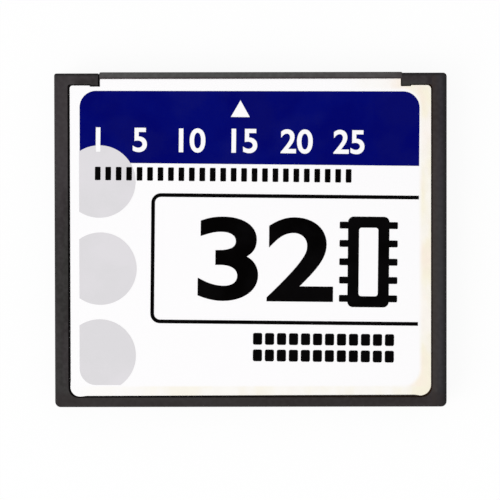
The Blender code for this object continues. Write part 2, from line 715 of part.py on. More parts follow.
def build_label(vinyl, blue, grey, black):
    """The label on the top cover, with its printed fields as thin layers of ink on one sheet."""
    top = LABEL_Z + LABEL_THICKNESS
    middle = LABEL_Z + LABEL_THICKNESS / 2
    inked = top + INK_THICKNESS
    past = inked + CUT_PAST
    outline = panel_outline(LIP_BACK_Y, PANEL_GAP)
    label = piece("front_label", plate_mesh("front_label", outline, LABEL_Z, top), vinyl)

    print_area = rectangle(
        PRINT_LEFT, PRINT_BOTTOM, PRINT_RIGHT, PRINT_TOP, PRINT_CORNER_RADIUS, PRINT_CORNER_RADIUS
    )
    band_rear = PRINT_TOP - BAND_HEIGHT
    band_outline = rectangle(PRINT_LEFT, band_rear, PRINT_RIGHT, PRINT_TOP, 0, PRINT_CORNER_RADIUS)
    band = tool("blue_band", plate_mesh("blue_band", band_outline, middle, inked), blue)
    apex = PRINT_TOP - ARROW_FROM_TOP
    arrow_outline = [
        (ARROW_X, apex),
        (ARROW_X - ARROW_WIDTH / 2, apex - ARROW_HEIGHT),
        (ARROW_X + ARROW_WIDTH / 2, apex - ARROW_HEIGHT),
    ]
    arrow = tool("arrow", plate_mesh("arrow", arrow_outline, LABEL_Z, past))
    bite = disc_mesh("disc_bite", DISC_X, DISC_TOP_Y, DISC_RADIUS + PRINT_MARGIN, LABEL_Z, past)
    cut(band, arrow, tool("disc_bite", bite))

    fields = [band]
    field = tool("print_field", plate_mesh("print_field", print_area, LABEL_Z, past))
    for number in range(DISC_COUNT):
        name = f"disc_{number + 1}"
        y = DISC_TOP_Y - number * DISC_SPACING
        disc = tool(name, disc_mesh(name, DISC_X, y, DISC_RADIUS, middle, inked), grey)
        combine(disc, "INTERSECT", field)
        fields.append(disc)

    rule_bottom = RULE_TOP - RULE_HEIGHT
    inner_left = RULE_LEFT + RULE_WIDTH
    inner_radius = RULE_CORNER_RADIUS - RULE_WIDTH
    rule_outline = rounded(
        [
            (PRINT_RIGHT, RULE_TOP, 0),
            (RULE_LEFT, RULE_TOP, RULE_CORNER_RADIUS),
            (RULE_LEFT, rule_bottom, RULE_CORNER_RADIUS),
            (PRINT_RIGHT, rule_bottom, 0),
            (PRINT_RIGHT, rule_bottom + RULE_WIDTH, 0),
            (inner_left, rule_bottom + RULE_WIDTH, inner_radius),
            (inner_left, RULE_TOP - RULE_WIDTH, inner_radius),
            (PRINT_RIGHT, RULE_TOP - RULE_WIDTH, 0),
        ]
    )
    fields.append(tool("ruled_box", plate_mesh("ruled_box", rule_outline, middle, inked), black))
    join(label, *fields)


def main():
    for old in list(bpy.data.objects):
        bpy.data.objects.remove(old)

    frame_plastic = finish("frame_plastic", (0.040, 0.039, 0.040), 0.55)
    connector_plastic = finish("connector_plastic", (0.080, 0.077, 0.076), 0.45)
    plating = finish("contact_plating", (0.85, 0.60, 0.24), 0.25, metallic=1.0)
    laminate = finish("board_laminate", (0.015, 0.16, 0.06), 0.35)
    ceramic = finish("capacitor_ceramic", (0.32, 0.22, 0.14), 0.45)
    can_metal = finish("crystal_can", (0.55, 0.54, 0.50), 0.3, metallic=1.0)
    resin = finish("chip_resin", (0.012, 0.012, 0.013), 0.5)
    tin = finish("lead_tin", (0.62, 0.62, 0.60), 0.35, metallic=1.0)
    steel = finish("cover_steel", (0.60, 0.60, 0.61), 0.32, metallic=1.0)
    vinyl = finish("label_vinyl", (0.93, 0.92, 0.90), 0.35)
    blue = finish("blue_ink", (0.0012, 0.0024, 0.135), 0.3)
    grey = finish("grey_ink", (0.73, 0.71, 0.73), 0.4)
    black = finish("black_ink", (0.004, 0.0035, 0.003), 0.4)

    build_frame(frame_plastic)
    build_connector_housing(connector_plastic)
    build_contacts(plating)
    build_circuit_board(laminate, ceramic, can_metal)
    build_chips(resin, tin)
    build_covers(steel)
    build_label(vinyl, blue, grey, black)


if __name__ == "__main__":
    main()
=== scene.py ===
"""The looks of a compact memory card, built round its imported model.

The card lies flat with its printed face up and its connector edge towards +Y. The frame moulding,
the connector housing, the two covers and the printed label are modelled here with fine edges. The
contacts, the chips and the circuit board keep their own meshes and get their finishes. All lengths
are in metres.
"""

import logging
import math
from collections.abc import Callable, Iterator
from contextlib import contextmanager
from dataclasses import dataclass, replace
from enum import Enum
from functools import reduce

import bmesh
import bpy
from mathutils import Matrix, Vector


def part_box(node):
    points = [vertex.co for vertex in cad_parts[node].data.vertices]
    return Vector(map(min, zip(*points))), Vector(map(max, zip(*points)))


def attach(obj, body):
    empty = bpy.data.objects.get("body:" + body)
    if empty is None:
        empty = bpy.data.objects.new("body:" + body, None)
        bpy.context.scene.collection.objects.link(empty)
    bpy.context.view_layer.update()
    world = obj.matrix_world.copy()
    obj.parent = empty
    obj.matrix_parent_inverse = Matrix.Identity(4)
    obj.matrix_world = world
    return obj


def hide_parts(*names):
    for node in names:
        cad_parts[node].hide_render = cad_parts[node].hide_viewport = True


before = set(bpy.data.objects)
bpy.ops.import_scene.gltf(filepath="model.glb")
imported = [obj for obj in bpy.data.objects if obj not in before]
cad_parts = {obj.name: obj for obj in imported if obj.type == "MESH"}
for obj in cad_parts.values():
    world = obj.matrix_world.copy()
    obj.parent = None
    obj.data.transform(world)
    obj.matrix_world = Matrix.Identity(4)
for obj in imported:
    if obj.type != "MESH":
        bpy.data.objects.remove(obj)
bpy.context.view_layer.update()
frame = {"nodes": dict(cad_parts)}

LOG = logging.getLogger("memory_card")
BODY = "root"
WELD = 1e-6  # Lengths that differ by less are the same.
PAST = 0.0004  # How far a cutting shape reaches past what it cuts.

Colour = tuple[float, float, float]
Pair = tuple[float, float]
Point = Vector | tuple[float, ...]
Place = Callable[[Vector], bool]
Piece = bpy.types.Object
Socket = bpy.types.NodeSocket
Feed = Socket | float | Point


def shade(red: int, green: int, blue: int) -> Colour:
    """Turns a screen colour into the linear colour that a shader takes.

    Args:
        red: The red level, 0 to 255.
        green: The green level, 0 to 255.
        blue: The blue level, 0 to 255.

    Returns:
        The linear red, green and blue.
    """
    knee, slope, lift, power = 0.04045, 12.92, 0.055, 2.4
    levels = (level / 255 for level in (red, green, blue))
    return tuple(v / slope if v <= knee else ((v + lift) / (1 + lift)) ** power for v in levels)


def scaled(colour: Colour, factor: float) -> Colour:
    """A colour with each of its levels times factor."""
    return tuple(factor * level for level in colour)


class Corners(Enum):
    """Which corners of a plate are rounded."""

    ALL = "all"
    LEFT = "left"

    def holds(self, corner: Vector, centre: Vector) -> bool:
        """Says whether a corner of a plate with that centre is one of these."""
        return self is Corners.ALL or corner.x < centre.x


# Modelling


def make_active(obj: Piece) -> None:
    """Selects obj alone and makes it the active object.

    Args:
        obj: The object.
    """
    bpy.ops.object.select_all(action="DESELECT")
    obj.select_set(True)
    bpy.context.view_layer.objects.active = obj


@contextmanager
def editing(obj: Piece, mode: str) -> Iterator[None]:
    """Opens obj in edit mode with nothing selected, and closes it again.

    Args:
        obj: The mesh object.
        mode: What is selected there: VERT, EDGE or FACE.
    """
    make_active(obj)
    bpy.ops.object.mode_set(mode="EDIT")
    bpy.ops.mesh.select_mode(type=mode)
    bpy.ops.mesh.select_all(action="DESELECT")
    yield
    bpy.ops.object.mode_set(mode="OBJECT")


def near(first: float, second: float) -> bool:
    """Says whether two lengths are the same."""
    return abs(first - second) < WELD


def pick(obj: Piece, kind: str, test: Place) -> None:
    """Selects the vertices, edges or faces whose every vertex passes a test, and nothing else.

    Args:
        obj: The object in edit mode.
        kind: verts, edges or faces.
        test: Says whether a vertex at that place counts.
    """
    bpy.ops.mesh.select_all(action="DESELECT")
    shape = bmesh.from_edit_mesh(obj.data)
    for item in getattr(shape, kind):
        corners = [item] if kind == "verts" else item.verts
        if all(test(corner.co) for corner in corners):
            item.select_set(True)
    bmesh.update_edit_mesh(obj.data)


def shift(obj: Piece, test: Place, move: Point) -> None:
    """Moves the vertices of an object in edit mode that pass a test."""
    pick(obj, "verts", test)
    bpy.ops.transform.translate(value=move)


def round_off(obj: Piece, kind: str, test: Place, radius: float, segments: int) -> None:
    """Rounds the corners of a sheet, or the edges of a solid, that pass a test.

    Args:
        obj: The object in edit mode.
        kind: verts or edges.
        test: Says whether a vertex at that place counts.
        radius: The radius of the rounding.
        segments: How many straight pieces draw it.
    """
    pick(obj, kind, test)
    affect = "VERTICES" if kind == "verts" else "EDGES"
    bpy.ops.mesh.bevel(affect=affect, offset=radius, segments=segments, clamp_overlap=False)


def extrude(move: Point) -> None:
    """Extrudes the selected faces."""
    bpy.ops.mesh.extrude_region_move(TRANSFORM_OT_translate={"value": move})


def cut_across(point: Point, axis: Point) -> None:
    """Adds edges to the mesh in edit mode where a plane crosses it."""
    bpy.ops.mesh.select_all(action="SELECT")
    bpy.ops.mesh.bisect(plane_co=point, plane_no=axis)


def settle(obj: Piece, name: str) -> Piece:
    """Names a new object and puts its place and size in its mesh.

    Args:
        obj: The object.
        name: Its name.

    Returns:
        The object.
    """
    obj.name = obj.data.name = name
    make_active(obj)
    bpy.ops.object.transform_apply(location=True, rotation=True, scale=True)
    return obj


def block(name: str, low: Point, high: Point) -> Piece:
    """A box between two opposite corners.

    Args:
        name: The object's name.
        low: The lowest corner.
        high: The highest corner.

    Returns:
        The box.
    """
    bpy.ops.object.select_all(action="DESELECT")
    bpy.ops.mesh.primitive_cube_add(size=1, location=(Vector(low) + Vector(high)) / 2)
    box = bpy.context.object
    box.scale = Vector(high) - Vector(low)
    return settle(box, name)


def mirrored(name: str, low: Point, high: Point) -> list[Piece]:
    """A box at the right of the card and its mirror image at the left.

    Args:
        name: What the objects' names start with.
        low: The right one's lowest corner.
        high: Its highest corner.

    Returns:
        The two boxes.
    """
    (inner, rear, bottom), (outer, front, top) = low, high
    return [
        block(name + "_right", (inner, rear, bottom), (outer, front, top)),
        block(name + "_left", (-outer, rear, bottom), (-inner, front, top)),
    ]


def sheet(name: str, low: Point, high: Point) -> Piece:
    """A flat rectangle between two opposite corners, at the height of the first.

    Args:
        name: The object's name.
        low: The left rear corner.
        high: The right front corner.

    Returns:
        The sheet.
    """
    bpy.ops.object.select_all(action="DESELECT")
    middle = (Vector(low) + Vector(high)) / 2
    bpy.ops.mesh.primitive_plane_add(size=1, location=(middle.x, middle.y, low[2]))
    plane = bpy.context.object
    plane.scale = (high[0] - low[0], high[1] - low[1], 1)
    return settle(plane, name)


def thicken(obj: Piece, height: float) -> Piece:
    """Extrudes a flat sheet upwards into a closed plate.

    Args:
        obj: The sheet.
        height: The plate's thickness.

    Returns:
        The plate.
    """
    with editing(obj, "FACE"):
        bpy.ops.mesh.select_all(action="SELECT")
        extrude((0, 0, height))
        bpy.ops.mesh.select_all(action="SELECT")
        bpy.ops.mesh.normals_make_consistent(inside=False)
    return obj


def plate(name: str, low: Point, high: Point, radius: float, corners: Corners) -> Piece:
    """A flat plate with round corners.

    Args:
        name: The object's name.
        low: The lowest corner.
        high: The highest corner.
        radius: The radius of the rounded corners.
        corners: Which corners are rounded.

    Returns:
        The plate.
    """
    segments = 8
    flat = sheet(name, low, high)
    centre = (Vector(low) + Vector(high)) / 2
    with editing(flat, "VERT"):
        round_off(flat, "verts", lambda v: corners.holds(v, centre), radius, segments)
    return thicken(flat, high[2] - low[2])


def disc(name: str, centre: Pair, radius: float, low: float, high: float) -> Piece:
    """A round plate.

    Args:
        name: The object's name.
        centre: Its middle, seen from above.
        radius: Its radius.
        low: The height of its underside.
        high: The height of its upper face.

    Returns:
        The round plate.
    """
    sides, place = 128, (*centre, (low + high) / 2)
    bpy.ops.object.select_all(action="DESELECT")
    bpy.ops.mesh.primitive_cylinder_add(
        vertices=sides, radius=radius, depth=high - low, location=place
    )
    return settle(bpy.context.object, name)


def joined(name: str, pieces: list[Piece]) -> Piece:
    """Joins pieces that stand apart from each other into one object.

    Args:
        name: The object's name.
        pieces: The pieces, which become one.

    Returns:
        The object.
    """
    bpy.ops.object.select_all(action="DESELECT")
    for piece in pieces:
        piece.select_set(True)
    bpy.context.view_layer.objects.active = pieces[0]
    bpy.ops.object.join()
    pieces[0].name = pieces[0].data.name = name
    return pieces[0]


def copy_of(obj: Piece) -> Piece:
    """A copy with a mesh of its own.

    Args:
        obj: The object.

    Returns:
        The copy.
    """
    copy = obj.copy()
    copy.data = obj.data.copy()
    bpy.context.scene.collection.objects.link(copy)
    return copy


def apply_modifier(obj: Piece, kind: str, **options: object) -> None:
    """Adds a modifier with these options and applies it.

    Args:
        obj: The object.
        kind: The modifier's type.
        options: Its options.
    """
    step = obj.modifiers.new(kind.lower(), kind)
    for option, choice in options.items():
        setattr(step, option, choice)
    make_active(obj)
    bpy.ops.object.modifier_apply(modifier=step.name)


def combine(target: Piece, operation: str, tools: list[Piece]) -> None:
    """Cuts tools from a piece, fuses them to it or keeps what they share with it.

    Args:
        target: The piece.
        operation: DIFFERENCE, UNION or INTERSECT.
        tools: The shapes, which are used up.
    """
    for tool in tools:
        apply_modifier(target, "BOOLEAN", operation=operation, solver="EXACT", object=tool)
        bpy.data.objects.remove(tool)


def repeat(obj: Piece, count: int, offset: Point) -> None:
    """Turns a piece into a row of copies of itself.

    Args:
        obj: The piece.
        count: How many there are in the row.
        offset: From one to the next.
    """
    apply_modifier(
        obj,
        "ARRAY",
        count=count,
        use_relative_offset=False,
        use_constant_offset=True,
        constant_offset_displace=offset,
    )


def refine(
    obj: Piece, width: float, segments: int = 2, least: float = 50.0, shading: float = 40.0
) -> Piece:
    """Melts the edges that cuts left on flat faces, rounds the sharp ones and shades the piece.

    Args:
        obj: The piece.
        width: The width of the rounding.
        segments: How many faces draw it.
        least: How many degrees an edge turns at least to be rounded.
        shading: How many degrees an edge turns at most to be shaded smooth.

    Returns:
        The piece.
    """
    closest, flat = WELD / 4, math.radians(0.2)
    with editing(obj, "VERT"):
        bpy.ops.mesh.select_all(action="SELECT")
        bpy.ops.mesh.remove_doubles(threshold=closest)
        bpy.ops.mesh.dissolve_limited(angle_limit=flat)
        bpy.ops.mesh.normals_make_consistent(inside=False)
    apply_modifier(
        obj,
        "BEVEL",
        width=width,
        segments=segments,
        limit_method="ANGLE",
        angle_limit=math.radians(least),
        use_clamp_overlap=True,
        miter_outer="MITER_ARC",
    )
    make_active(obj)
    bpy.ops.object.shade_smooth_by_angle(angle=math.radians(shading))
    apply_modifier(obj, "WEIGHTED_NORMAL", keep_sharp=True)
    return obj


# The card's own sizes


@dataclass(frozen=True)
class PanelOutline:
    """The T-shaped outline that the covers, the label and their recess share.

    Attributes:
        side: Half its width.
        rear: Its rear edge.
        shoulder: Where it ends behind the frame's arms.
        tip: Where it ends behind the arms' stepped tips.
        tip_side: Where along X each stepped tip begins.
        left_gate: How far to the left the tongue between the arms reaches.
        right_gate: How far to the right it reaches.
        tongue: Where the tongue ends.
        radii: The radii of its corners: rear left, rear right, at the left arm, at the right arm.
    """

    side: float
    rear: float
    shoulder: float
    tip: float
    tip_side: float
    left_gate: float
    right_gate: float
    tongue: float
    radii: tuple[float, float, float, float]

    def drawn_in(self, gap: float, tongue: float) -> "PanelOutline":
        """The outline of what lies in this one.

        Args:
            gap: The gap all round.
            tongue: Where the inner outline's tongue ends.

        Returns:
            The inner outline.
        """
        return replace(
            self,
            side=self.side - gap,
            rear=self.rear + gap,
            shoulder=self.shoulder - gap,
            tip=self.tip - gap,
            tip_side=self.tip_side + gap,
            left_gate=self.left_gate - gap,
            right_gate=self.right_gate - gap,
            tongue=tongue,
        )

    def plate(self, name: str, low: float, high: float, segments: int = 8) -> Piece:
        """A plate of this outline.

        Args:
            name: The object's name.
            low: The height of its underside.
            high: The height of its upper face.
            segments: How many straight pieces draw each rounded corner.

        Returns:
            The plate.
        """
        straight = math.radians(1)
        flat = sheet(name, (-self.side, self.rear, low), (self.side, self.tip, low))
        with editing(flat, "EDGE"):
            for x in (-self.tip_side, -self.left_gate, self.right_gate, self.tip_side):
                cut_across((x, 0, 0), (1, 0, 0))
            for left, right, end in (
                (-self.side, -self.tip_side, self.shoulder),
                (-self.left_gate, self.right_gate, self.tongue),
                (self.tip_side, self.side, self.shoulder),
            ):
                pick(flat, "edges", lambda v: near(v.y, self.tip) and left - WELD < v.x < right + WELD)
                move = (0, end - self.tip, 0)
                bpy.ops.mesh.extrude_edges_move(TRANSFORM_OT_translate={"value": move})
            bpy.ops.mesh.select_all(action="SELECT")
            bpy.ops.mesh.dissolve_limited(angle_limit=straight)
        corners = [(x, y) for y in (self.rear, self.shoulder) for x in (-self.side, self.side)]
        with editing(flat, "VERT"):
            for (x, y), radius in zip(corners, self.radii):
                round_off(flat, "verts", lambda v: near(v.x, x) and near(v.y, y), radius, segments)
        return thicken(flat, high - low)


@dataclass(frozen=True)
class CardSizes:
    """Sizes that several pieces share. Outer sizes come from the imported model.

    Attributes:
        side_rim: How wide the frame shows at the sides.
        rear_rim: How wide the frame shows at the rear.
        arm_depth: How deep the frame's arms are.
        tip_step: How much deeper they are at their tips.
        tip_length: How long that deeper stretch is.
        recess: How deep the covers and the label lie below the frame's faces.
        radii: The radii of the recess's corners, in the order that PanelOutline gives.
        panel_gap: The gap round the covers and the label.
        left_gate: How far to the left the space between the arms reaches.
        right_gate: How far to the right it reaches.
        lip_depth: How deep the connector's lip is.
        key_setback: How far behind the arms the middle of the keys lies.
        key_length: How long the keys are, along Y.
        key_width: How far they stand out.
        key_height: How high they are.
    """

    side_rim: float = 0.00156
    rear_rim: float = 0.00111
    arm_depth: float = 0.00117
    tip_step: float = 0.00012
    tip_length: float = 0.00078
    recess: float = 0.00036
    radii: tuple[float, float, float, float] = (0.00105, 0.0012, 0.0003, 0.00045)
    panel_gap: float = 0.00012
    left_gate: float = 0.01661
    right_gate: float = 0.01651
    lip_depth: float = 0.00073
    key_setback: float = 0.0022
    key_length: float = 0.001
    key_width: float = 0.0006
    key_height: float = 0.0018

    @property
    def low(self) -> Vector:
        """The lowest corner of the frame."""
        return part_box("frame")[0]

    @property
    def high(self) -> Vector:
        """The highest corner of the frame."""
        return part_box("frame")[1]

    @property
    def middle(self) -> float:
        """Half the card's thickness."""
        return (self.low.z + self.high.z) / 2

    @property
    def arm_back(self) -> float:
        """The rear face of the frame's arms."""
        return self.high.y - self.arm_depth

    @property
    def lip_back(self) -> float:
        """The rear face of the connector's lip."""
        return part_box("connector_housing")[1].y - self.lip_depth

    @property
    def key_y(self) -> float:
        """The middle of the keys along Y."""
        return self.arm_back - self.key_setback

    def recess_outline(self) -> PanelOutline:
        """Works out the recess that the covers and the label lie in.

        Returns:
            The outline.
        """
        return PanelOutline(
            side=self.high.x - self.side_rim,
            rear=self.low.y + self.rear_rim,
            shoulder=self.arm_back,
            tip=self.arm_back - self.tip_step,
            tip_side=self.left_gate + self.tip_length,
            left_gate=self.left_gate,
            right_gate=self.right_gate,
            tongue=self.high.y + PAST,
            radii=self.radii,
        )

    def panel_outline(self) -> PanelOutline:
        """The outline of the covers and the label."""
        return self.recess_outline().drawn_in(self.panel_gap, self.lip_back)


SIZES = CardSizes()


# Shader nodes


class Effect(Enum):
    """The surface effects that several materials share, each a node group."""

    GRAIN = "surface_grain"
    DRIFT = "tone_drift"
    ROUNDING = "rounded_edge"
    BRUSHING = "brush_marks"


class Graph:
    """Adds nodes to one node tree and links them."""

    def __init__(self, tree: bpy.types.NodeTree) -> None:
        """Takes the node tree that the nodes go in."""
        self.tree = tree

    def add(
        self, kind: str, inputs: dict[str | int, Feed] | None = None, **options: object
    ) -> bpy.types.Node:
        """Adds a node.

        Args:
            kind: The node's type.
            inputs: What feeds each socket, by its name or number: an output, or a constant.
            options: The node's own options.

        Returns:
            The new node.
        """
        node = self.tree.nodes.new(kind)
        for option, choice in options.items():
            setattr(node, option, choice)
        for key, value in (inputs or {}).items():
            if isinstance(value, Socket):
                self.link(value, node, key)
            else:
                node.inputs[key].default_value = value
        return node

    def link(self, source: Socket, node: bpy.types.Node, key: str | int) -> None:
        """Feeds an output to the input of a node with that name or number."""
        self.tree.links.new(source, node.inputs[key])

    def math(self, operation: str, *terms: Feed) -> Socket:
        """The result of a sum on one, two or three terms."""
        return self.add("ShaderNodeMath", dict(enumerate(terms)), operation=operation).outputs[0]

    def times(self, *terms: Feed) -> Socket:
        """The product of the terms."""
        return reduce(lambda first, second: self.math("MULTIPLY", first, second), terms)

    def largest(self, *terms: Feed) -> Socket:
        """The largest of the terms."""
        return reduce(lambda first, second: self.math("MAXIMUM", first, second), terms)

    def away(self, value: Socket, middle: float = 0.0) -> Socket:
        """How far a value lies from a middle, to either side."""
        return self.math("ABSOLUTE", self.math("SUBTRACT", value, middle))

    def weighed(self, first: Socket, share: float, second: Socket, rest: float) -> Socket:
        """The sum of two values, each times its share."""
        return self.math("MULTIPLY_ADD", first, share, self.times(second, rest))

    def vector_math(self, operation: str, *terms: Feed) -> Socket:
        """The result of a sum on vectors."""
        inputs = dict(enumerate(terms))
        return self.add("ShaderNodeVectorMath", inputs, operation=operation).outputs[0]

    def split(self, vector: Socket) -> list[Socket]:
        """The X, Y and Z of a vector."""
        return list(self.add("ShaderNodeSeparateXYZ", {0: vector}).outputs)

    def noise(self, place: Socket, scale: Feed, detail: float = 3.0) -> Socket:
        """Smooth noise about 0.5.

        Args:
            place: The point where it is read.
            scale: How many features fit in a metre.
            detail: How many finer layers are added.

        Returns:
            The level there.
        """
        inputs = {"Vector": place, "Scale": scale, "Detail": detail}
        return self.add("ShaderNodeTexNoise", inputs).outputs[0]

    def ramp(
        self, value: Socket, start: Feed, end: Feed, low: Feed = 0.0, high: Feed = 1.0
    ) -> Socket:
        """Leads a value smoothly from low, at start, to high, at end."""
        inputs = {0: value, 1: start, 2: end, 3: low, 4: high}
        return self.add("ShaderNodeMapRange", inputs, interpolation_type="SMOOTHSTEP").outputs[0]

    def mix(self, mask: Feed, first: Feed, second: Feed) -> Socket:
        """Mixes two colours.

        Args:
            mask: The share of the second.
            first: The one colour.
            second: The other.

        Returns:
            The mixed colour.
        """
        first, second = (c if isinstance(c, Socket) else (*c, 1.0) for c in (first, second))
        inputs = {0: mask, 6: first, 7: second}
        return self.add("ShaderNodeMix", inputs, data_type="RGBA").outputs[2]

    def mix_shaders(self, mask: Socket, first: bpy.types.Node, second: bpy.types.Node) -> bpy.types.Node:
        """Mixes two shaders: first where mask is 0, and second where it is 1."""
        inputs = {0: mask, 1: first.outputs[0], 2: second.outputs[0]}
        return self.add("ShaderNodeMixShader", inputs)

    def effect(self, effect: Effect, **inputs: Feed) -> dict[str, Socket]:
        """Places a shared effect with values of its own.

        Args:
            effect: The effect.
            inputs: What feeds each of its inputs.

        Returns:
            The effect's outputs by name.
        """
        node = self.add("ShaderNodeGroup", inputs, node_tree=EFFECTS.get(effect))
        return {output.name: output for output in node.outputs}


class EffectBuilder:
    """Builds each shared effect once, as a node group."""

    VECTOR = "NodeSocketVector"
    NUMBER = "NodeSocketFloat"

    def get(self, effect: Effect) -> bpy.types.NodeTree:
        """Finds the node group of an effect, or builds it when it is first asked for.

        Args:
            effect: The effect.

        Returns:
            The node group.
        """
        found = bpy.data.node_groups.get(effect.value)
        if found:
            return found
        builders = {
            Effect.GRAIN: self.grain,
            Effect.DRIFT: self.drift,
            Effect.ROUNDING: self.rounding,
            Effect.BRUSHING: self.brushing,
        }
        return builders[effect]()

    def blank(
        self, effect: Effect, inputs: dict[str, str], *outputs: str
    ) -> tuple[Graph, dict[str, Socket], bpy.types.Node]:
        """A node group with its sockets and nothing in it.

        Args:
            effect: The effect that it is for.
            inputs: Each input's name and socket type.
            outputs: The name of each output, which are all numbers.

        Returns:
            The group's graph, its inputs by name and its output node.
        """
        graph = Graph(bpy.data.node_groups.new(effect.value, "ShaderNodeTree"))
        sockets = graph.tree.interface
        for label, kind in inputs.items():
            sockets.new_socket(name=label, in_out="INPUT", socket_type=kind)
        for label in outputs:
            sockets.new_socket(name=label, in_out="OUTPUT", socket_type=self.NUMBER)
        source = graph.add("NodeGroupInput")
        return graph, {label: source.outputs[label] for label in inputs}, graph.add("NodeGroupOutput")

    def drawn_out(
        self, effect: Effect, *outputs: str
    ) -> tuple[Graph, Socket, Socket, bpy.types.Node]:
        """A group whose pattern is drawn out along the side that its input Stretch makes short.

        Args:
            effect: The effect that it is for.
            outputs: The name of each output.

        Returns:
            The group's graph, the drawn-out place, the pattern's scale and the output node.
        """
        inputs = {"Vector": self.VECTOR, "Stretch": self.VECTOR, "Scale": self.NUMBER}
        graph, given, sink = self.blank(effect, inputs, *outputs)
        drawn = graph.vector_math("MULTIPLY", given["Vector"], given["Stretch"])
        return graph, drawn, given["Scale"], sink

    def grain(self) -> bpy.types.NodeTree:
        """Fine grain with a coarser swell in it: Height for bump and Mask for tone.

        Returns:
            The node group.
        """
        inputs = {"Vector": self.VECTOR, "Scale": self.NUMBER}
        graph, given, sink = self.blank(Effect.GRAIN, inputs, "Height", "Mask")
        coarseness, pale, full = 0.23, 0.36, 0.66
        fine = graph.noise(given["Vector"], given["Scale"])
        coarse = graph.noise(given["Vector"], graph.times(given["Scale"], coarseness), detail=2.0)
        graph.link(graph.weighed(coarse, 0.6, fine, 0.4), sink, "Height")
        graph.link(graph.ramp(coarse, pale, full), sink, "Mask")
        return graph.tree

    def drift(self) -> bpy.types.NodeTree:
        """Two slow drifts of tone, First and Second.

        Returns:
            The node group.
        """
        graph, drawn, scale, sink = self.drawn_out(Effect.DRIFT, "First", "Second")
        apart, pale, full = (0.37, -0.21, 0.13), 0.4, 0.62
        moved = graph.vector_math("ADD", drawn, apart)
        for label, place in (("First", drawn), ("Second", moved)):
            graph.link(graph.ramp(graph.noise(place, scale), pale, full), sink, label)
        return graph.tree

    def rounding(self) -> bpy.types.NodeTree:
        """Mask is 1 where a rounded edge turns away from the flat faces, and 0 on those faces.

        Returns:
            The node group.
        """
        graph, given, sink = self.blank(Effect.ROUNDING, {"Normal": self.VECTOR}, "Mask")
        flat, turned = 0.995, 0.88
        facing = graph.largest(*(graph.math("ABSOLUTE", side) for side in graph.split(given["Normal"])))
        graph.link(graph.ramp(facing, flat, turned), sink, "Mask")
        return graph.tree

    def brushing(self) -> bpy.types.NodeTree:
        """Long fine scratches: Height and Mask.

        Returns:
            The node group.
        """
        graph, drawn, scale, sink = self.drawn_out(Effect.BRUSHING, "Height", "Mask")
        coarseness, pale, full = 0.18, 0.38, 0.62
        fine = graph.noise(drawn, scale, detail=4.0)
        broad = graph.noise(drawn, graph.times(scale, coarseness))
        graph.link(fine, sink, "Height")
        graph.link(graph.ramp(graph.weighed(broad, 0.55, fine, 0.45), pale, full), sink, "Mask")
        return graph.tree


EFFECTS = EffectBuilder()


class SurfaceGraph(Graph):
    """The graph of one material, with its surface shader and the place where patterns are read.

    Attributes:
        surface: The Principled BSDF.
        spot: The point on the object.
        normal: The direction that the surface faces there.
    """

    def __init__(self, material: bpy.types.Material) -> None:
        """Finds the material's surface shader and adds its texture coordinates.

        Args:
            material: The material.
        """
        super().__init__(material.node_tree)
        self.surface = material.node_tree.nodes["Principled BSDF"]
        place = self.add("ShaderNodeTexCoord").outputs
        self.spot, self.normal = place["Object"], place["Normal"]

    def grain(self, scale: float) -> dict[str, Socket]:
        """Surface grain, with that many grains in a metre."""
        return self.effect(Effect.GRAIN, Vector=self.spot, Scale=scale)

    def drift(self, scale: float, stretch: Point = (1, 1, 1)) -> list[Socket]:
        """Two slow drifts of tone, each from 0 to 1.

        Args:
            scale: How many patches fit in a metre.
            stretch: The share that each side keeps where the patches are drawn out.

        Returns:
            The two drifts.
        """
        both = self.effect(Effect.DRIFT, Vector=self.spot, Stretch=stretch, Scale=scale)
        return list(both.values())


# Finishes


@dataclass(frozen=True)
class Finish:
    """What every finish states.

    Attributes:
        name: The material's name.
        colour: Its main colour.
        roughness: How rough it is on the whole.
        specular: Its reflection level, where 0.5 is that of common plastics.
        metallic: 1 for bare metal, 0 for the rest.
        grain: How many grains fit in a metre.
        relief: How deep they are.
        uneven: How far its roughness falls below the whole and rises above it.
    """

    name: str
    colour: Colour
    roughness: float
    specular: float = 0.5
    metallic: float = 0.0
    grain: float = 9000.0
    relief: float = 0.000003
    uneven: Pair = (0.06, 0.06)

    def material(self) -> bpy.types.Material:
        """Finds the finish's material, or builds it when it is first asked for.

        Returns:
            The material.
        """
        look = "look_" + self.name
        found = bpy.data.materials.get(look)
        if found:
            return found
        material = bpy.data.materials.new(look)
        material.use_nodes = True
        material.diffuse_color = (*self.colour, 1.0)
        graph = SurfaceGraph(material)
        graph.surface.inputs["Specular IOR Level"].default_value = self.specular
        graph.surface.inputs["Metallic"].default_value = self.metallic
        self.paint(graph)
        return material

    def paint(self, graph: SurfaceGraph) -> None:
        """Adds the finish's own nodes to its material."""
        raise NotImplementedError

    def coat(self, graph: SurfaceGraph, tone: Socket, dull: Socket, height: Socket) -> None:
        """Feeds the surface its colour, its roughness and its relief.

        Args:
            graph: The material's graph.
            tone: The colour.
            dull: Where the surface is rougher, from 0 to 1.
            height: The height of the relief, from 0 to 1.
        """
        below, above = self.uneven
        rough = graph.ramp(dull, 0.0, 1.0, self.roughness - below, self.roughness + above)
        bumps = {"Height": height, "Distance": self.relief, "Strength": 1.0}
        graph.link(tone, graph.surface, "Base Color")
        graph.link(rough, graph.surface, "Roughness")
        graph.link(graph.add("ShaderNodeBump", bumps).outputs[0], graph.surface, "Normal")


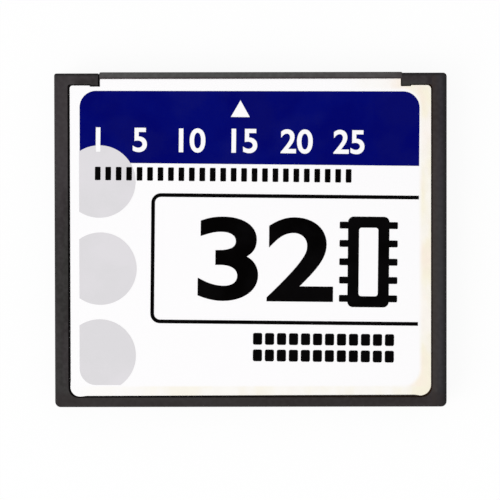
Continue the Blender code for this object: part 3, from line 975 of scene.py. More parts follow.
@dataclass(frozen=True, kw_only=True)
class MouldedPlastic(Finish):
    """Moulded plastic with flow streaks along its bars, and painted shade along its edges and in its
    gaps.

    Attributes:
        dark: The tone of its dark streaks.
        cool: The tone of its cool streaks.
        warm: The tone of its warm streaks.
        edge: The painted shade on its rounded edges.
        shadow: The tone of its far edges.
        shadow_x: Where along X that tone begins, and where it is full.
        shadow_y: The same along Y.
        deep: The painted shade down in the gaps.
        deep_right: The same at the right, painted lighter and browner.
        deep_x: Where along X the one begins to turn into the other, and where it ends.
        rear: The tone of the rear bar.
        rear_y: Where along Y that tone begins, and where it is full.
        side: Where along X, on either side, the bars that run along Y begin.
        inner: The tone of the right bar next to the label.
        outer: The tone of its outer half.
        streaks: How many streaks fit in a metre, across them.
    """

    dark: Colour
    cool: Colour
    warm: Colour
    edge: Colour
    shadow: Colour
    shadow_x: Pair
    shadow_y: Pair
    deep: Colour
    deep_right: Colour
    deep_x: Pair = (-0.012, 0.019)
    rear: Colour = (0, 0, 0)
    rear_y: Pair = (-1, -2)
    side: float = 1.0
    inner: Colour = (0, 0, 0)
    outer: Colour = (0, 0, 0)
    streaks: float = 420.0

    def gap_mask(self, graph: SurfaceGraph) -> Socket:
        """Finds the gaps round the label and beside the connector, where shade is painted.

        Args:
            graph: The material's graph.

        Returns:
            1 in the gaps, and 0 elsewhere.
        """
        x, y, z = graph.split(graph.spot)
        outline = SIZES.recess_outline()
        reach, skin, slot = 0.00014, 0.00002, 0.0003
        below = graph.math("LESS_THAN", graph.away(z, SIZES.middle), SIZES.middle - skin)
        recess = graph.times(
            graph.math("LESS_THAN", graph.away(x), outline.side + reach),
            graph.math("GREATER_THAN", y, outline.rear - reach),
            graph.math("LESS_THAN", y, outline.shoulder + reach),
            below,
        )
        slots = []
        for side, gate in ((-1, outline.left_gate), (1, outline.right_gate)):
            outward = graph.times(x, side)
            near_wall = graph.math("LESS_THAN", outward, gate + skin)
            slots.append(graph.times(near_wall, graph.math("GREATER_THAN", outward, gate - slot)))
        depth = graph.times(
            graph.math("GREATER_THAN", y, outline.tip - reach),
            graph.math("LESS_THAN", y, SIZES.high.y - skin),
            below,
        )
        return graph.largest(recess, graph.times(graph.largest(*slots), depth))

    def paint(self, graph: SurfaceGraph) -> None:
        """Adds the streaks, the painted shade on the edges and in the gaps, and the grain.

        Args:
            graph: The material's graph.
        """
        stretch, corner, seam, half_bar = 0.12, 0.002, 0.0001, 0.001
        tint, pale, speck, right, rear, dim = 0.4, 1.5, 0.15, 0.4, 0.6, 0.8
        x, y, _ = graph.split(graph.spot)
        bars = graph.drift(self.streaks, (stretch, 1, 1))
        sides = graph.drift(self.streaks, (1, stretch, 1))
        upright = graph.ramp(graph.away(x), self.side - corner, self.side)
        first, second = (graph.ramp(upright, 0.0, 1.0, *pair) for pair in zip(bars, sides))
        tone = graph.mix(first, self.dark, self.colour)
        tone = graph.mix(tint, tone, graph.mix(second, self.cool, self.warm))
        grain = graph.grain(self.grain)
        across = graph.mix(graph.ramp(x, self.side, self.side + half_bar), self.inner, self.outer)
        far = graph.largest(graph.ramp(x, *self.shadow_x), graph.ramp(y, *self.shadow_y))
        turned = graph.effect(Effect.ROUNDING, Normal=graph.normal)["Mask"]
        # The grain specks and the right bar's tones are the plastic's own; the far-edge and rounded-edge
        # layers are painted shade.
        for mask, layer in (
            (graph.times(grain["Mask"], speck), scaled(self.colour, pale)),
            (graph.times(graph.ramp(x, self.side - seam, self.side), right), across),
            (graph.times(graph.ramp(y, *self.rear_y), rear), self.rear),
            (graph.times(far, dim), self.shadow),
            (graph.times(turned, dim), self.edge),
            # Painted shade in the gaps, lighter and browner at the right.
            (self.gap_mask(graph), graph.mix(graph.ramp(x, *self.deep_x), self.deep, self.deep_right)),
        ):
            tone = graph.mix(mask, tone, layer)
        self.coat(graph, tone, grain["Mask"], grain["Height"])


@dataclass(frozen=True, kw_only=True)
class LabelStock(Finish):
    """Glossy white label film that has yellowed along its margins, most of all at the right.

    Attributes:
        aged: The tone of the yellowed margins.
        yellow: The same where they are most yellow, as along the rear edge.
        brown: The tone of the film's cut edge: brown from aged glue, darkened as painted shade.
        low: The print's left rear corner, which the margins surround.
        high: Its right front corner.
        radius: The radius of its corners.
        margin: How far from the print the yellowing begins, and how far it is full.
        spread: Where along X it begins, and where it is full.
        rear_share: How strong it is along the rear edge.
        rear_spread: Where along X it begins there, and where it is full.
        patches: How many patches of it fit in a metre.
    """

    aged: Colour
    yellow: Colour
    brown: Colour
    low: Pair
    high: Pair
    radius: float
    margin: Pair
    spread: Pair
    rear_share: float
    rear_spread: Pair
    patches: float = 420.0
    grain: float = 3500.0
    relief: float = 0.0000012
    uneven: Pair = (0.04, 0.05)

    def outside(self, graph: SurfaceGraph) -> Socket:
        """Measures how far a point lies outside the print, whose corners are round.

        Args:
            graph: The material's graph.

        Returns:
            That distance, which is negative within the print.
        """
        squares = []
        for axis, level in enumerate(graph.split(graph.spot)[:2]):
            past = graph.math("SUBTRACT", level, self.high[axis] - self.radius)
            short = graph.math("SUBTRACT", self.low[axis] + self.radius, level)
            beyond = graph.largest(past, short, 0.0)
            squares.append(graph.times(beyond, beyond))
        return graph.math("SUBTRACT", graph.math("SQRT", graph.math("ADD", *squares)), self.radius)

    def paint(self, graph: SurfaceGraph) -> None:
        """Adds the yellowed margins, the brown cut edge with its painted shade, and the film's slight
        waviness.

        Args:
            graph: The material's graph.
        """
        stretch, fade, dirt, darker = (1, 0.5, 1), 0.0003, 0.12, 0.8
        least, more = 0.5, 0.6
        flat, upright = 0.9, 0.5
        first, second = graph.drift(self.patches, stretch)
        grain = graph.grain(self.grain)
        x, y, _ = graph.split(graph.spot)
        margin = graph.ramp(self.outside(graph), *self.margin)
        back = graph.ramp(y, self.low[1], self.low[1] - fade)
        behind = graph.times(back, self.rear_share, graph.ramp(x, *self.rear_spread))
        stain = graph.largest(graph.times(margin, graph.ramp(x, *self.spread)), behind)
        patchy = graph.times(stain, graph.math("MULTIPLY_ADD", first, more, least))
        aged = graph.mix(graph.largest(back, second), self.aged, self.yellow)
        facing = graph.math("ABSOLUTE", graph.split(graph.normal)[2])
        tone = graph.mix(patchy, self.colour, aged)
        tone = graph.mix(graph.times(grain["Mask"], stain, dirt), tone, scaled(self.aged, darker))
        # The cut edge: aged glue, darkened with painted shade for the gap round the film.
        tone = graph.mix(graph.ramp(facing, flat, upright), tone, self.brown)
        self.coat(graph, tone, second, grain["Height"])


@dataclass(frozen=True, kw_only=True)
class Ink(Finish):
    """Printing ink, laid down a little unevenly.

    Attributes:
        thin: The tone where the ink lies thin.
        patches: How many uneven patches fit in a metre.
    """

    thin: Colour
    patches: float = 180.0
    grain: float = 6000.0
    relief: float = 0.000001
    uneven: Pair = (0.04, 0.05)

    def paint(self, graph: SurfaceGraph) -> None:
        """Adds the uneven patches and a fine grain.

        Args:
            graph: The material's graph.
        """
        first, second = graph.drift(self.patches)
        grain = graph.grain(self.grain)
        share = graph.weighed(grain["Mask"], 0.15, first, 0.7)
        self.coat(graph, graph.mix(share, self.colour, self.thin), second, grain["Height"])


@dataclass(frozen=True, kw_only=True)
class BrushedMetal(Finish):
    """Sheet metal with a brushed face.

    Attributes:
        dull: The tone between the brush marks.
        stretch: The share that each side keeps where the marks are drawn out.
        patches: How many patches of duller metal fit in a metre.
    """

    dull: Colour
    stretch: Point = (0.012, 1.0, 1.0)
    patches: float = 90.0
    uneven: Pair = (0.08, 0.1)

    def paint(self, graph: SurfaceGraph) -> None:
        """Adds the brush marks and a slow drift of tone.

        Args:
            graph: The material's graph.
        """
        place = {"Vector": graph.spot, "Stretch": self.stretch, "Scale": self.grain}
        brush = graph.effect(Effect.BRUSHING, **place)
        first, second = graph.drift(self.patches)
        share = graph.weighed(first, 0.25, brush["Mask"], 0.6)
        spread = graph.weighed(second, 0.3, brush["Mask"], 0.7)
        self.coat(graph, graph.mix(share, self.colour, self.dull), spread, brush["Height"])


@dataclass(frozen=True, kw_only=True)
class ChipPackage(Finish):
    """Black moulding resin, with smoother bare tin on the leads past each end of the package.

    Attributes:
        tin: The colour of the leads.
        middle: Where the middle of the packages lies along Y.
        half_length: Half the length of the resin, along Y.
    """

    tin: Colour
    middle: float
    half_length: float
    grain: float = 7000.0
    relief: float = 0.000004
    uneven: Pair = (0.0, -0.2)

    def paint(self, graph: SurfaceGraph) -> None:
        """Adds the resin's grain and the tin of the leads.

        Args:
            graph: The material's graph.
        """
        pale = 2.2
        grain = graph.grain(self.grain)
        away = graph.away(graph.split(graph.spot)[1], self.middle)
        lead = graph.math("GREATER_THAN", away, self.half_length)
        resin = graph.mix(grain["Mask"], self.colour, scaled(self.colour, pale))
        graph.link(lead, graph.surface, "Metallic")
        self.coat(graph, graph.mix(lead, resin, self.tin), lead, grain["Height"])


@dataclass(frozen=True, kw_only=True)
class BoardLaminate(Finish):
    """Green solder mask over copper tracks, with the small parts that stand on the board.

    Attributes:
        track: The tone of the mask over a copper track.
        ceramic: The colour of the capacitors.
        can: The colour of the crystal's can.
        part_height: The height above which the small parts begin.
        can_front: Where along Y the crystal ends.
        tracks: How many bends of the tracks fit in a metre.
    """

    track: Colour
    ceramic: Colour
    can: Colour
    part_height: float
    can_front: float
    tracks: float = 420.0
    grain: float = 5000.0
    relief: float = 0.000008
    uneven: Pair = (0.05, 0.05)

    def paint(self, graph: SurfaceGraph) -> None:
        """Adds the tracks under the mask and the colours of the small parts.

        Args:
            graph: The material's graph.
        """
        spacing, gap, edge, rise = 0.12, 0.05, 0.065, 0.7
        _, y, z = graph.split(graph.spot)
        grain = graph.grain(self.grain)
        cells = {"Vector": graph.spot, "Scale": self.tracks}
        bends = graph.add("ShaderNodeTexVoronoi", cells, distance="MANHATTAN", feature="F1")
        copper = graph.ramp(graph.math("PINGPONG", bends.outputs[0], spacing), gap, edge)
        part = graph.math("GREATER_THAN", z, self.part_height)
        metal = graph.times(part, graph.math("LESS_THAN", y, self.can_front))
        tone = graph.mix(part, graph.mix(copper, self.colour, self.track), self.ceramic)
        height = graph.math("MULTIPLY_ADD", copper, rise, grain["Height"])
        graph.link(metal, graph.surface, "Metallic")
        self.coat(graph, graph.mix(metal, tone, self.can), grain["Mask"], height)


@dataclass(frozen=True)
class Finishes:
    """The card's finishes."""

    frame: Finish = MouldedPlastic(
        "frame_plastic", shade(62, 59, 60), 0.45, 0.25,
        dark=shade(42, 39, 39), cool=shade(52, 53, 49), warm=shade(56, 47, 51),
        # edge, shadow, deep and deep_right are painted shade.
        edge=shade(38, 36, 37), shadow=shade(31, 30, 31),
        shadow_x=(0.0207, 0.02132), shadow_y=(0.01772, 0.01808),
        deep=shade(36, 32, 34), deep_right=shade(66, 46, 32),
        rear=shade(48, 41, 41), rear_y=(-0.0165, -0.0171),
        side=0.01984, inner=shade(61, 51, 45), outer=shade(48, 49, 56),
    )
    connector: Finish = MouldedPlastic(
        "connector_plastic", shade(86, 85, 85), 0.45, 0.25, relief=0.0000015,
        dark=shade(70, 69, 69), cool=shade(77, 80, 76), warm=shade(78, 70, 72),
        # edge, shadow, deep and deep_right are painted shade.
        edge=shade(66, 68, 66), shadow=shade(52, 40, 43),
        shadow_x=(0.0135, 0.0195), shadow_y=(0.01782, 0.01758),
        deep=(0.0005, 0.0004, 0.0004), deep_right=shade(105, 101, 92),
    )
    film: Finish = LabelStock(
        "label_film", shade(253, 252, 253), 0.14, 0.3,
        aged=shade(251, 239, 225), yellow=shade(249, 243, 223), brown=shade(66, 54, 42),
        low=(-0.0187, -0.01586), high=(0.01835, 0.01622), radius=0.0018,
        margin=(-0.0001, 0.0005), spread=(0.0095, 0.0205),
        rear_share=0.55, rear_spread=(-0.022, -0.006),
    )
    blue: Finish = Ink("blue_ink", shade(1, 4, 103), 0.13, 0.3, thin=shade(3, 9, 110))
    grey: Finish = Ink("grey_ink", shade(220, 218, 221), 0.13, 0.3, thin=shade(225, 222, 226))
    black: Finish = Ink("black_ink", shade(3, 2, 2), 0.13, 0.3, thin=shade(9, 8, 9))
    steel: Finish = BrushedMetal(
        "cover_steel", (0.60, 0.60, 0.61), 0.32, metallic=1.0, dull=(0.48, 0.48, 0.49)
    )
    gold: Finish = BrushedMetal(
        "contact_plating", (0.86, 0.62, 0.25), 0.28, metallic=1.0, relief=0.000001,
        dull=(0.72, 0.48, 0.17), stretch=(1.0, 0.08, 1.0),
    )
    chips: Finish = ChipPackage(
        "chip_resin", (0.012, 0.012, 0.013), 0.5,
        tin=(0.62, 0.62, 0.60), middle=-0.002695, half_length=0.0092,
    )
    board: Finish = BoardLaminate(
        "board_laminate", (0.012, 0.14, 0.05), 0.38,
        track=(0.035, 0.24, 0.09), ceramic=(0.32, 0.22, 0.14), can=(0.55, 0.54, 0.50),
        part_height=0.00186, can_front=-0.012,
    )


def dress(obj: Piece, finish: Finish, slot: str, *nodes: str) -> None:
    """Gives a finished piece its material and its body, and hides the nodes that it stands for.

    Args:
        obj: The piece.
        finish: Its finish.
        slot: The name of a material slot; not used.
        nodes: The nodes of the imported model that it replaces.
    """
    obj.data.materials.clear()
    obj.data.materials.append(finish.material())
    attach(obj, BODY)
    if nodes:
        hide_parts(*nodes)
    LOG.info("%s: %d faces, finish %s", obj.name, len(obj.data.polygons), finish.name)


# The pieces


@dataclass
class FrameMoulding:
    """The moulded frame: rims, arms, ledges, guide grooves, board rests, keys and tab pockets.

    Attributes:
        rear_corner: The radius of its rear corners.
        left_corner: The radius of its front left corner.
        right_corner: The radius of its front right corner.
        edge_round: The rounding of its outer edges.
        soft_edge: The rounding of every other edge.
        ledge: How wide the ledge under the covers is.
        well_radii: The radii of the corners of the well inside the ledge.
        groove_depth: How deep the guide grooves are.
        groove_length: How far back they run.
        left_groove: How high the left groove is.
        right_groove: How high the right groove is.
        lead_in: How long the grooves' flared mouths are.
        flare: How much they flare on each side.
        left_relief: How much further left the label's recess reaches than the covers'.
        rear_relief: The same to the rear.
        left_reach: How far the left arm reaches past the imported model's front.
        right_reach: How far the right arm does.
        rest_width: How far the board's rests stand out.
        rest_length: How long they are, along Y.
        rest_height: How high they are.
        rest_drop: How far below the card's middle their tops lie.
        front_setback: How far the front rests lie behind the board's front edge.
        rear_setback: How far the rear rests lie before its rear edge.
        join: How far the rests and the keys reach into the wall that carries them.
    """

    rear_corner: float = 0.0006
    left_corner: float = 0.00025
    right_corner: float = 0.0004
    edge_round: float = 0.00012
    soft_edge: float = 0.000035
    ledge: float = 0.0007
    well_radii: tuple[float, float, float, float] = (0.0005, 0.0005, 0.0001, 0.0001)
    groove_depth: float = 0.00101
    groove_length: float = 0.02578
    left_groove: float = 0.0016
    right_groove: float = 0.00099
    lead_in: float = 0.0006
    flare: float = 0.0002
    left_relief: float = 0.0001
    rear_relief: float = 0.00007
    left_reach: float = 0.00003
    right_reach: float = 0.00006
    rest_width: float = 0.001
    rest_length: float = 0.0025
    rest_height: float = 0.0006
    rest_drop: float = 0.00023
    front_setback: float = 0.0004
    rear_setback: float = 0.002
    join: float = 0.0003

    def blank(self) -> Piece:
        """Models the frame before it is hollowed: a plate with round corners and edges.

        Returns:
            The plate.
        """
        low, high = SIZES.low, SIZES.high
        body = block("frame_moulding", low, high)
        with editing(body, "EDGE"):
            for x, y, radius in (
                (low.x, low.y, self.rear_corner),
                (high.x, low.y, self.rear_corner),
                (low.x, high.y, self.left_corner),
                (high.x, high.y, self.right_corner),
            ):
                round_off(body, "edges", lambda v: near(v.x, x) and near(v.y, y), radius, segments=6)
            for face in (low.z, high.z):
                round_off(body, "edges", lambda v: near(v.z, face), self.edge_round, segments=4)
            for side, reach in ((-1, self.left_reach), (1, self.right_reach)):
                shift(body, lambda v: v.y > high.y / 2 and v.x * side > 0, (0, reach, 0))
        return body

    def groove(self, side: int, height: float) -> Piece:
        """The shape of a guide groove, flared at the connector end.

        Args:
            side: 1 for the right of the card, -1 for the left.
            height: How high the groove is.

        Returns:
            The shape to cut.
        """
        edge, middle = SIZES.high, SIZES.middle
        inner, outer = sorted((side * (edge.x - self.groove_depth), side * (edge.x + PAST)))
        lead, run = edge.y - self.lead_in, self.lead_in + PAST
        low = (inner, edge.y - self.groove_length, middle - height / 2)
        shape = block("groove", low, (outer, lead, middle + height / 2))
        with editing(shape, "FACE"):
            pick(shape, "faces", lambda v: near(v.y, lead))
            extrude((0, run, 0))
            wider = 1 + 2 * self.flare * run / self.lead_in / height
            centre = ((inner + outer) / 2, lead + run, middle)
            bpy.ops.transform.resize(value=(1, 1, wider), center_override=centre)
        return shape

    def label_recess(self, outline: PanelOutline) -> Piece:
        """The shape of the recess that the label lies in.

        Args:
            outline: The outline of the covers' recess.

        Returns:
            The shape to cut.
        """
        recess = outline.plate("label_recess", SIZES.high.z - SIZES.recess, SIZES.high.z + PAST)
        with editing(recess, "VERT"):
            shift(recess, lambda v: v.x < -outline.tip_side - WELD, (-self.left_relief, 0, 0))
            shift(recess, lambda v: v.y < 0, (0, -self.rear_relief, 0))
        return recess

    def pockets(self) -> list[Piece]:
        """The pockets that the covers' tabs are pressed into.

        Returns:
            The shapes to cut.
        """
        tab = CoverSheet()
        outer = SIZES.high.x - SIZES.side_rim - SIZES.panel_gap - tab.tab_inset
        reach = tab.tab_length / 2 + tab.tab_clearance
        drop = SIZES.recess + tab.tab_depth
        cuts = []
        for y in tab.tab_places():
            for bottom, top in (
                (SIZES.high.z - drop, SIZES.high.z - SIZES.recess / 2),
                (SIZES.low.z + SIZES.recess / 2, SIZES.low.z + drop),
            ):
                low = (outer - tab.thickness - tab.tab_clearance, y - reach, bottom)
                cuts += mirrored("pocket", low, (outer + tab.tab_clearance, y + reach, top))
        return cuts

    def supports(self, inner: float) -> list[Piece]:
        """The rests that the board lies on and the keys that hold the connector.

        Args:
            inner: How far from the card's middle the inner face of the wall lies.

        Returns:
            The shapes to fuse to the frame.
        """
        board_low, board_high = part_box("circuit_board")
        wall, seat = inner + self.join, SIZES.middle - self.rest_drop
        rear = board_low.y + self.rear_setback
        shapes = []
        for front in (board_high.y - self.front_setback, rear + self.rest_length):
            low = (inner - self.rest_width, front - self.rest_length, seat - self.rest_height)
            shapes += mirrored("rest", low, (wall, front, seat))
        reach, rise = SIZES.key_length / 2, SIZES.key_height / 2
        low = (inner - SIZES.key_width, SIZES.key_y - reach, SIZES.middle - rise)
        return shapes + mirrored("key", low, (wall, SIZES.key_y + reach, SIZES.middle + rise))

    def build(self) -> Piece:
        """Models the frame.

        Returns:
            The frame.
        """
        low, high = SIZES.low, SIZES.high
        recess = SIZES.recess_outline()
        well = replace(
            recess,
            side=recess.side - self.ledge,
            rear=recess.rear + self.ledge,
            radii=self.well_radii,
        )
        cuts = [
            well.plate("well", low.z - PAST, high.z + PAST, segments=4),
            self.label_recess(recess),
            recess.plate("lower_recess", low.z - PAST, low.z + SIZES.recess),
            self.groove(-1, self.left_groove),
            self.groove(1, self.right_groove),
        ]
        body = self.blank()
        combine(body, "DIFFERENCE", cuts)
        combine(body, "UNION", self.supports(well.side))
        combine(body, "DIFFERENCE", self.pockets())
        return refine(body, self.soft_edge)

    def make(self, finishes: Finishes) -> None:
        """Models the frame and dresses it."""
        dress(self.build(), finishes.frame, "frame_plastic", "frame")


@dataclass
class ConnectorHousing:
    """The connector housing: lip, body, trapped ears, key notches and two rows of pin holes.

    Attributes:
        columns: How many pin holes a row has.
        pitch: Their spacing, both ways.
        cavity: The width of the square cavity round each contact.
        mouth: The width of a hole's flared mouth.
        throat: The width of its throat.
        mouth_depth: How deep the flared mouth is.
        throat_depth: How deep the throat is.
        gap: The gap round the housing.
        left_gap: How much the lip falls short of the space between the arms at the left.
        right_gap: The same at the right.
        left_corner: The rounding of the lip's front left corner.
        right_corner: The rounding of its front right corner.
        chamfer: The rounding of its front edges.
        ear_radius: The radius of the ears' corners.
        soft_edge: The rounding of every other edge.
    """

    columns: int = 25
    pitch: float = 0.00127
    cavity: float = 0.0008
    mouth: float = 0.0009
    throat: float = 0.0006
    mouth_depth: float = 0.0003
    throat_depth: float = 0.0004
    gap: float = 0.00005
    left_gap: float = 0.00015
    right_gap: float = 0.00001
    left_corner: float = 0.00015
    right_corner: float = 0.00006
    chamfer: float = 0.00008
    ear_radius: float = 0.0003
    soft_edge: float = 0.00002

    def pin_holes(self, face: float, back: float) -> Piece:
        """The shape of the pin holes: cavities, throats extruded from their ends, flared mouths.

        Args:
            face: Where the housing's front face is.
            back: Where its rear face is.

        Returns:
            The shape to cut.
        """
        x = -(self.columns - 1) / 2 * self.pitch
        z = SIZES.middle - self.pitch / 2
        half = self.cavity / 2
        past = 0.00005
        run = self.mouth_depth + past
        end = face - self.mouth_depth - self.throat_depth
        flare = 1 + (self.mouth / self.throat - 1) * run / self.mouth_depth
        hole = block("pin_hole", (x - half, back - PAST, z - half), (x + half, end, z + half))
        with editing(hole, "FACE"):
            pick(hole, "faces", lambda v: near(v.y, end))
            bpy.ops.mesh.inset(thickness=(self.cavity - self.throat) / 2)
            extrude((0, self.throat_depth, 0))
            extrude((0, run, 0))
            centre = (x, face + past, z)
            bpy.ops.transform.resize(value=(flare, 1, flare), center_override=centre)
        repeat(hole, self.columns, (self.pitch, 0, 0))
        repeat(hole, 2, (0, 0, self.pitch))
        return hole

    def lip(self, right: float, low: Vector, high: Vector) -> Piece:
        """The lip that fills the space between the arms, with rounded front edges.

        Args:
            right: Where the lip ends at the right.
            low: The housing's lowest corner.
            high: Its highest corner.

        Returns:
            The lip.
        """
        left = self.left_gap - SIZES.left_gate
        lip = block("lip", (left, SIZES.lip_back, low.z), (right, high.y, high.z))
        with editing(lip, "EDGE"):
            for x, corner in ((left, self.left_corner), (right, self.right_corner)):
                round_off(
                    lip, "edges", lambda v: near(v.y, high.y) and near(v.x, x), corner, segments=2
                )
            round_off(lip, "edges", lambda v: near(v.y, high.y), self.chamfer, segments=3)
        return lip

    def build(self) -> Piece:
        """Models the housing.

        Returns:
            The housing.
        """
        low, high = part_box("connector_housing")
        bottom, top = SIZES.low.z + SIZES.recess, SIZES.high.z - SIZES.recess
        left, right = self.gap - SIZES.left_gate, SIZES.right_gate - self.right_gap
        ear_front = SIZES.arm_back - SIZES.tip_step - self.gap
        body = block("connector_socket", (left, low.y, bottom), (right, SIZES.high.y - WELD, top))
        ears = plate(
            "ears",
            (low.x, low.y + WELD, bottom + WELD),
            (high.x, ear_front, top - WELD),
            self.ear_radius,
            Corners.ALL,
        )
        combine(body, "UNION", [self.lip(right - WELD, low, high), ears])
        reach = SIZES.key_length / 2 + self.gap
        corner = (high.x - SIZES.key_width, SIZES.key_y - reach, low.z)
        notches = mirrored("notch", corner, (high.x + PAST, SIZES.key_y + reach, high.z))
        combine(body, "DIFFERENCE", notches + [self.pin_holes(high.y, low.y)])
        return refine(body, self.soft_edge, segments=1, least=60.0, shading=30.0)

    def make(self, finishes: Finishes) -> None:
        """Models the housing and dresses it."""
        dress(self.build(), finishes.connector, "connector_plastic", "connector_housing")


@dataclass
class CoverSheet:
    """A sheet-metal cover with tabs folded down into the frame's pockets.

    Attributes:
        thickness: The sheet's thickness.
        seat_gap: The gap between it and the frame's ledge.
        tab_length: The length of each tab.
        tab_depth: How far the tabs reach below the ledge.
        tab_spacing: The distance between the tabs of one side.
        tab_offset: Where along Y their middle is.
        tab_clearance: The tabs' clearance in their pockets.
        tab_inset: How far the tabs lie inside the sheet's edge.
        soft_edge: The rounding that stamping leaves.
    """

    thickness: float = 0.00015
    seat_gap: float = 0.00003
    tab_length: float = 0.003
    tab_depth: float = 0.0008
    tab_spacing: float = 0.0165
    tab_offset: float = -0.0008
    tab_clearance: float = 0.00006
    tab_inset: float = 0.00003
    soft_edge: float = 0.00003

    def tab_places(self) -> list[float]:
        """Where along Y the tabs are."""
        return [self.tab_offset + side * self.tab_spacing / 2 for side in (-1, 1)]

    def build(self, name: str, upper: bool) -> Piece:
        """Models one cover.

        Args:
            name: The object's name.
            upper: True for the cover under the label.

        Returns:
            The cover.
        """
        outline = SIZES.panel_outline()
        seat = SIZES.recess - self.seat_gap
        fold = self.seat_gap + self.tab_depth - self.tab_clearance
        half = self.thickness / 2
        if upper:
            low = SIZES.high.z - seat
            tab_low, tab_high = low - fold, low + half
        else:
            low = SIZES.low.z + seat - self.thickness
            tab_low, tab_high = low + half, low + self.thickness + fold
        cover = outline.plate(name, low, low + self.thickness)
        outer = outline.side - self.tab_inset
        for y in self.tab_places():
            corner = (outer - self.thickness, y - self.tab_length / 2, tab_low)
            opposite = (outer, y + self.tab_length / 2, tab_high)
            combine(cover, "UNION", mirrored("tab", corner, opposite))
        return refine(cover, self.soft_edge)

    def make(self, finishes: Finishes) -> None:
        """Models the two covers and dresses them."""
        for name, node in (("upper_cover_sheet", "top_cover"), ("lower_cover_sheet", "bottom_cover")):
            dress(self.build(name, node == "top_cover"), finishes.steel, "cover_steel", node)


@dataclass(frozen=True)
class Figures:
    """A plain number in solid figures.

    Attributes:
        digits: The figures.
        middle: Where the middle of the number is along X.
        foot: Where its foot is along Y.
        height: How high the figures are.
        width: How wide the number is, or 0 for its natural width.
        bold: How much the strokes are thickened, as a share of the type size.
    """

    digits: str
    middle: float
    foot: float
    height: float
    width: float = 0.0
    bold: float = 0.02

    def build(self, low: float, high: float) -> Piece:
        """Models the number.

        Args:
            low: The height of its underside.
            high: The height of its upper face.

        Returns:
            The number.
        """
        depth, closest = 0.5, 0.0001  # As shares of the type size, before the number is scaled.
        bpy.ops.object.select_all(action="DESELECT")
        bpy.ops.object.text_add()
        text = bpy.context.object.data
        text.body = self.digits
        text.offset = self.bold
        text.extrude = depth
        bpy.ops.object.convert(target="MESH")
        figures = bpy.context.object
        with editing(figures, "VERT"):
            bpy.ops.mesh.select_all(action="SELECT")
            bpy.ops.mesh.remove_doubles(threshold=closest)
            bpy.ops.mesh.normals_make_consistent(inside=False)
        points = [vertex.co for vertex in figures.data.vertices]
        least, most = (
            Vector([end(point[axis] for point in points) for axis in range(3)]) for end in (min, max)
        )
        size = most - least
        wide = self.width or size.x * self.height / size.y
        figures.data.transform(Matrix.Translation(-least))
        figures.scale = (wide / size.x, self.height / size.y, (high - low) / size.z)
        figures.location = (self.middle - wide / 2, self.foot, low)
        return settle(figures, "figures_" + self.digits)


@dataclass(frozen=True)
class PrintedBlock:
    """A rectangle of ink with round corners, which may be repeated side by side and in rows.

    Attributes:
        low: The left rear corner of the first one, seen from above.
        high: Its right front corner.
        radius: The radius of its rounded corners.
        columns: How many stand side by side.
        rows: How many rows there are.
        pitch: From one to the next, along X and along Y.
        corners: Which corners are rounded.
    """

    low: Pair
    high: Pair
    radius: float
    columns: int = 1
    rows: int = 1
    pitch: Pair = (0.0, 0.0)
    corners: Corners = Corners.ALL

    def build(self, name: str, low: float, high: float) -> Piece:
        """Models the ink.

        Args:
            name: The object's name.
            low: The height of its underside.
            high: The height of its upper face.

        Returns:
            The ink.
        """
        ink = plate(name, (*self.low, low), (*self.high, high), self.radius, self.corners)
        across, along = self.pitch
        for count, offset in ((self.columns, (across, 0, 0)), (self.rows, (0, along, 0))):
            if count > 1:
                repeat(ink, count, offset)
        return ink


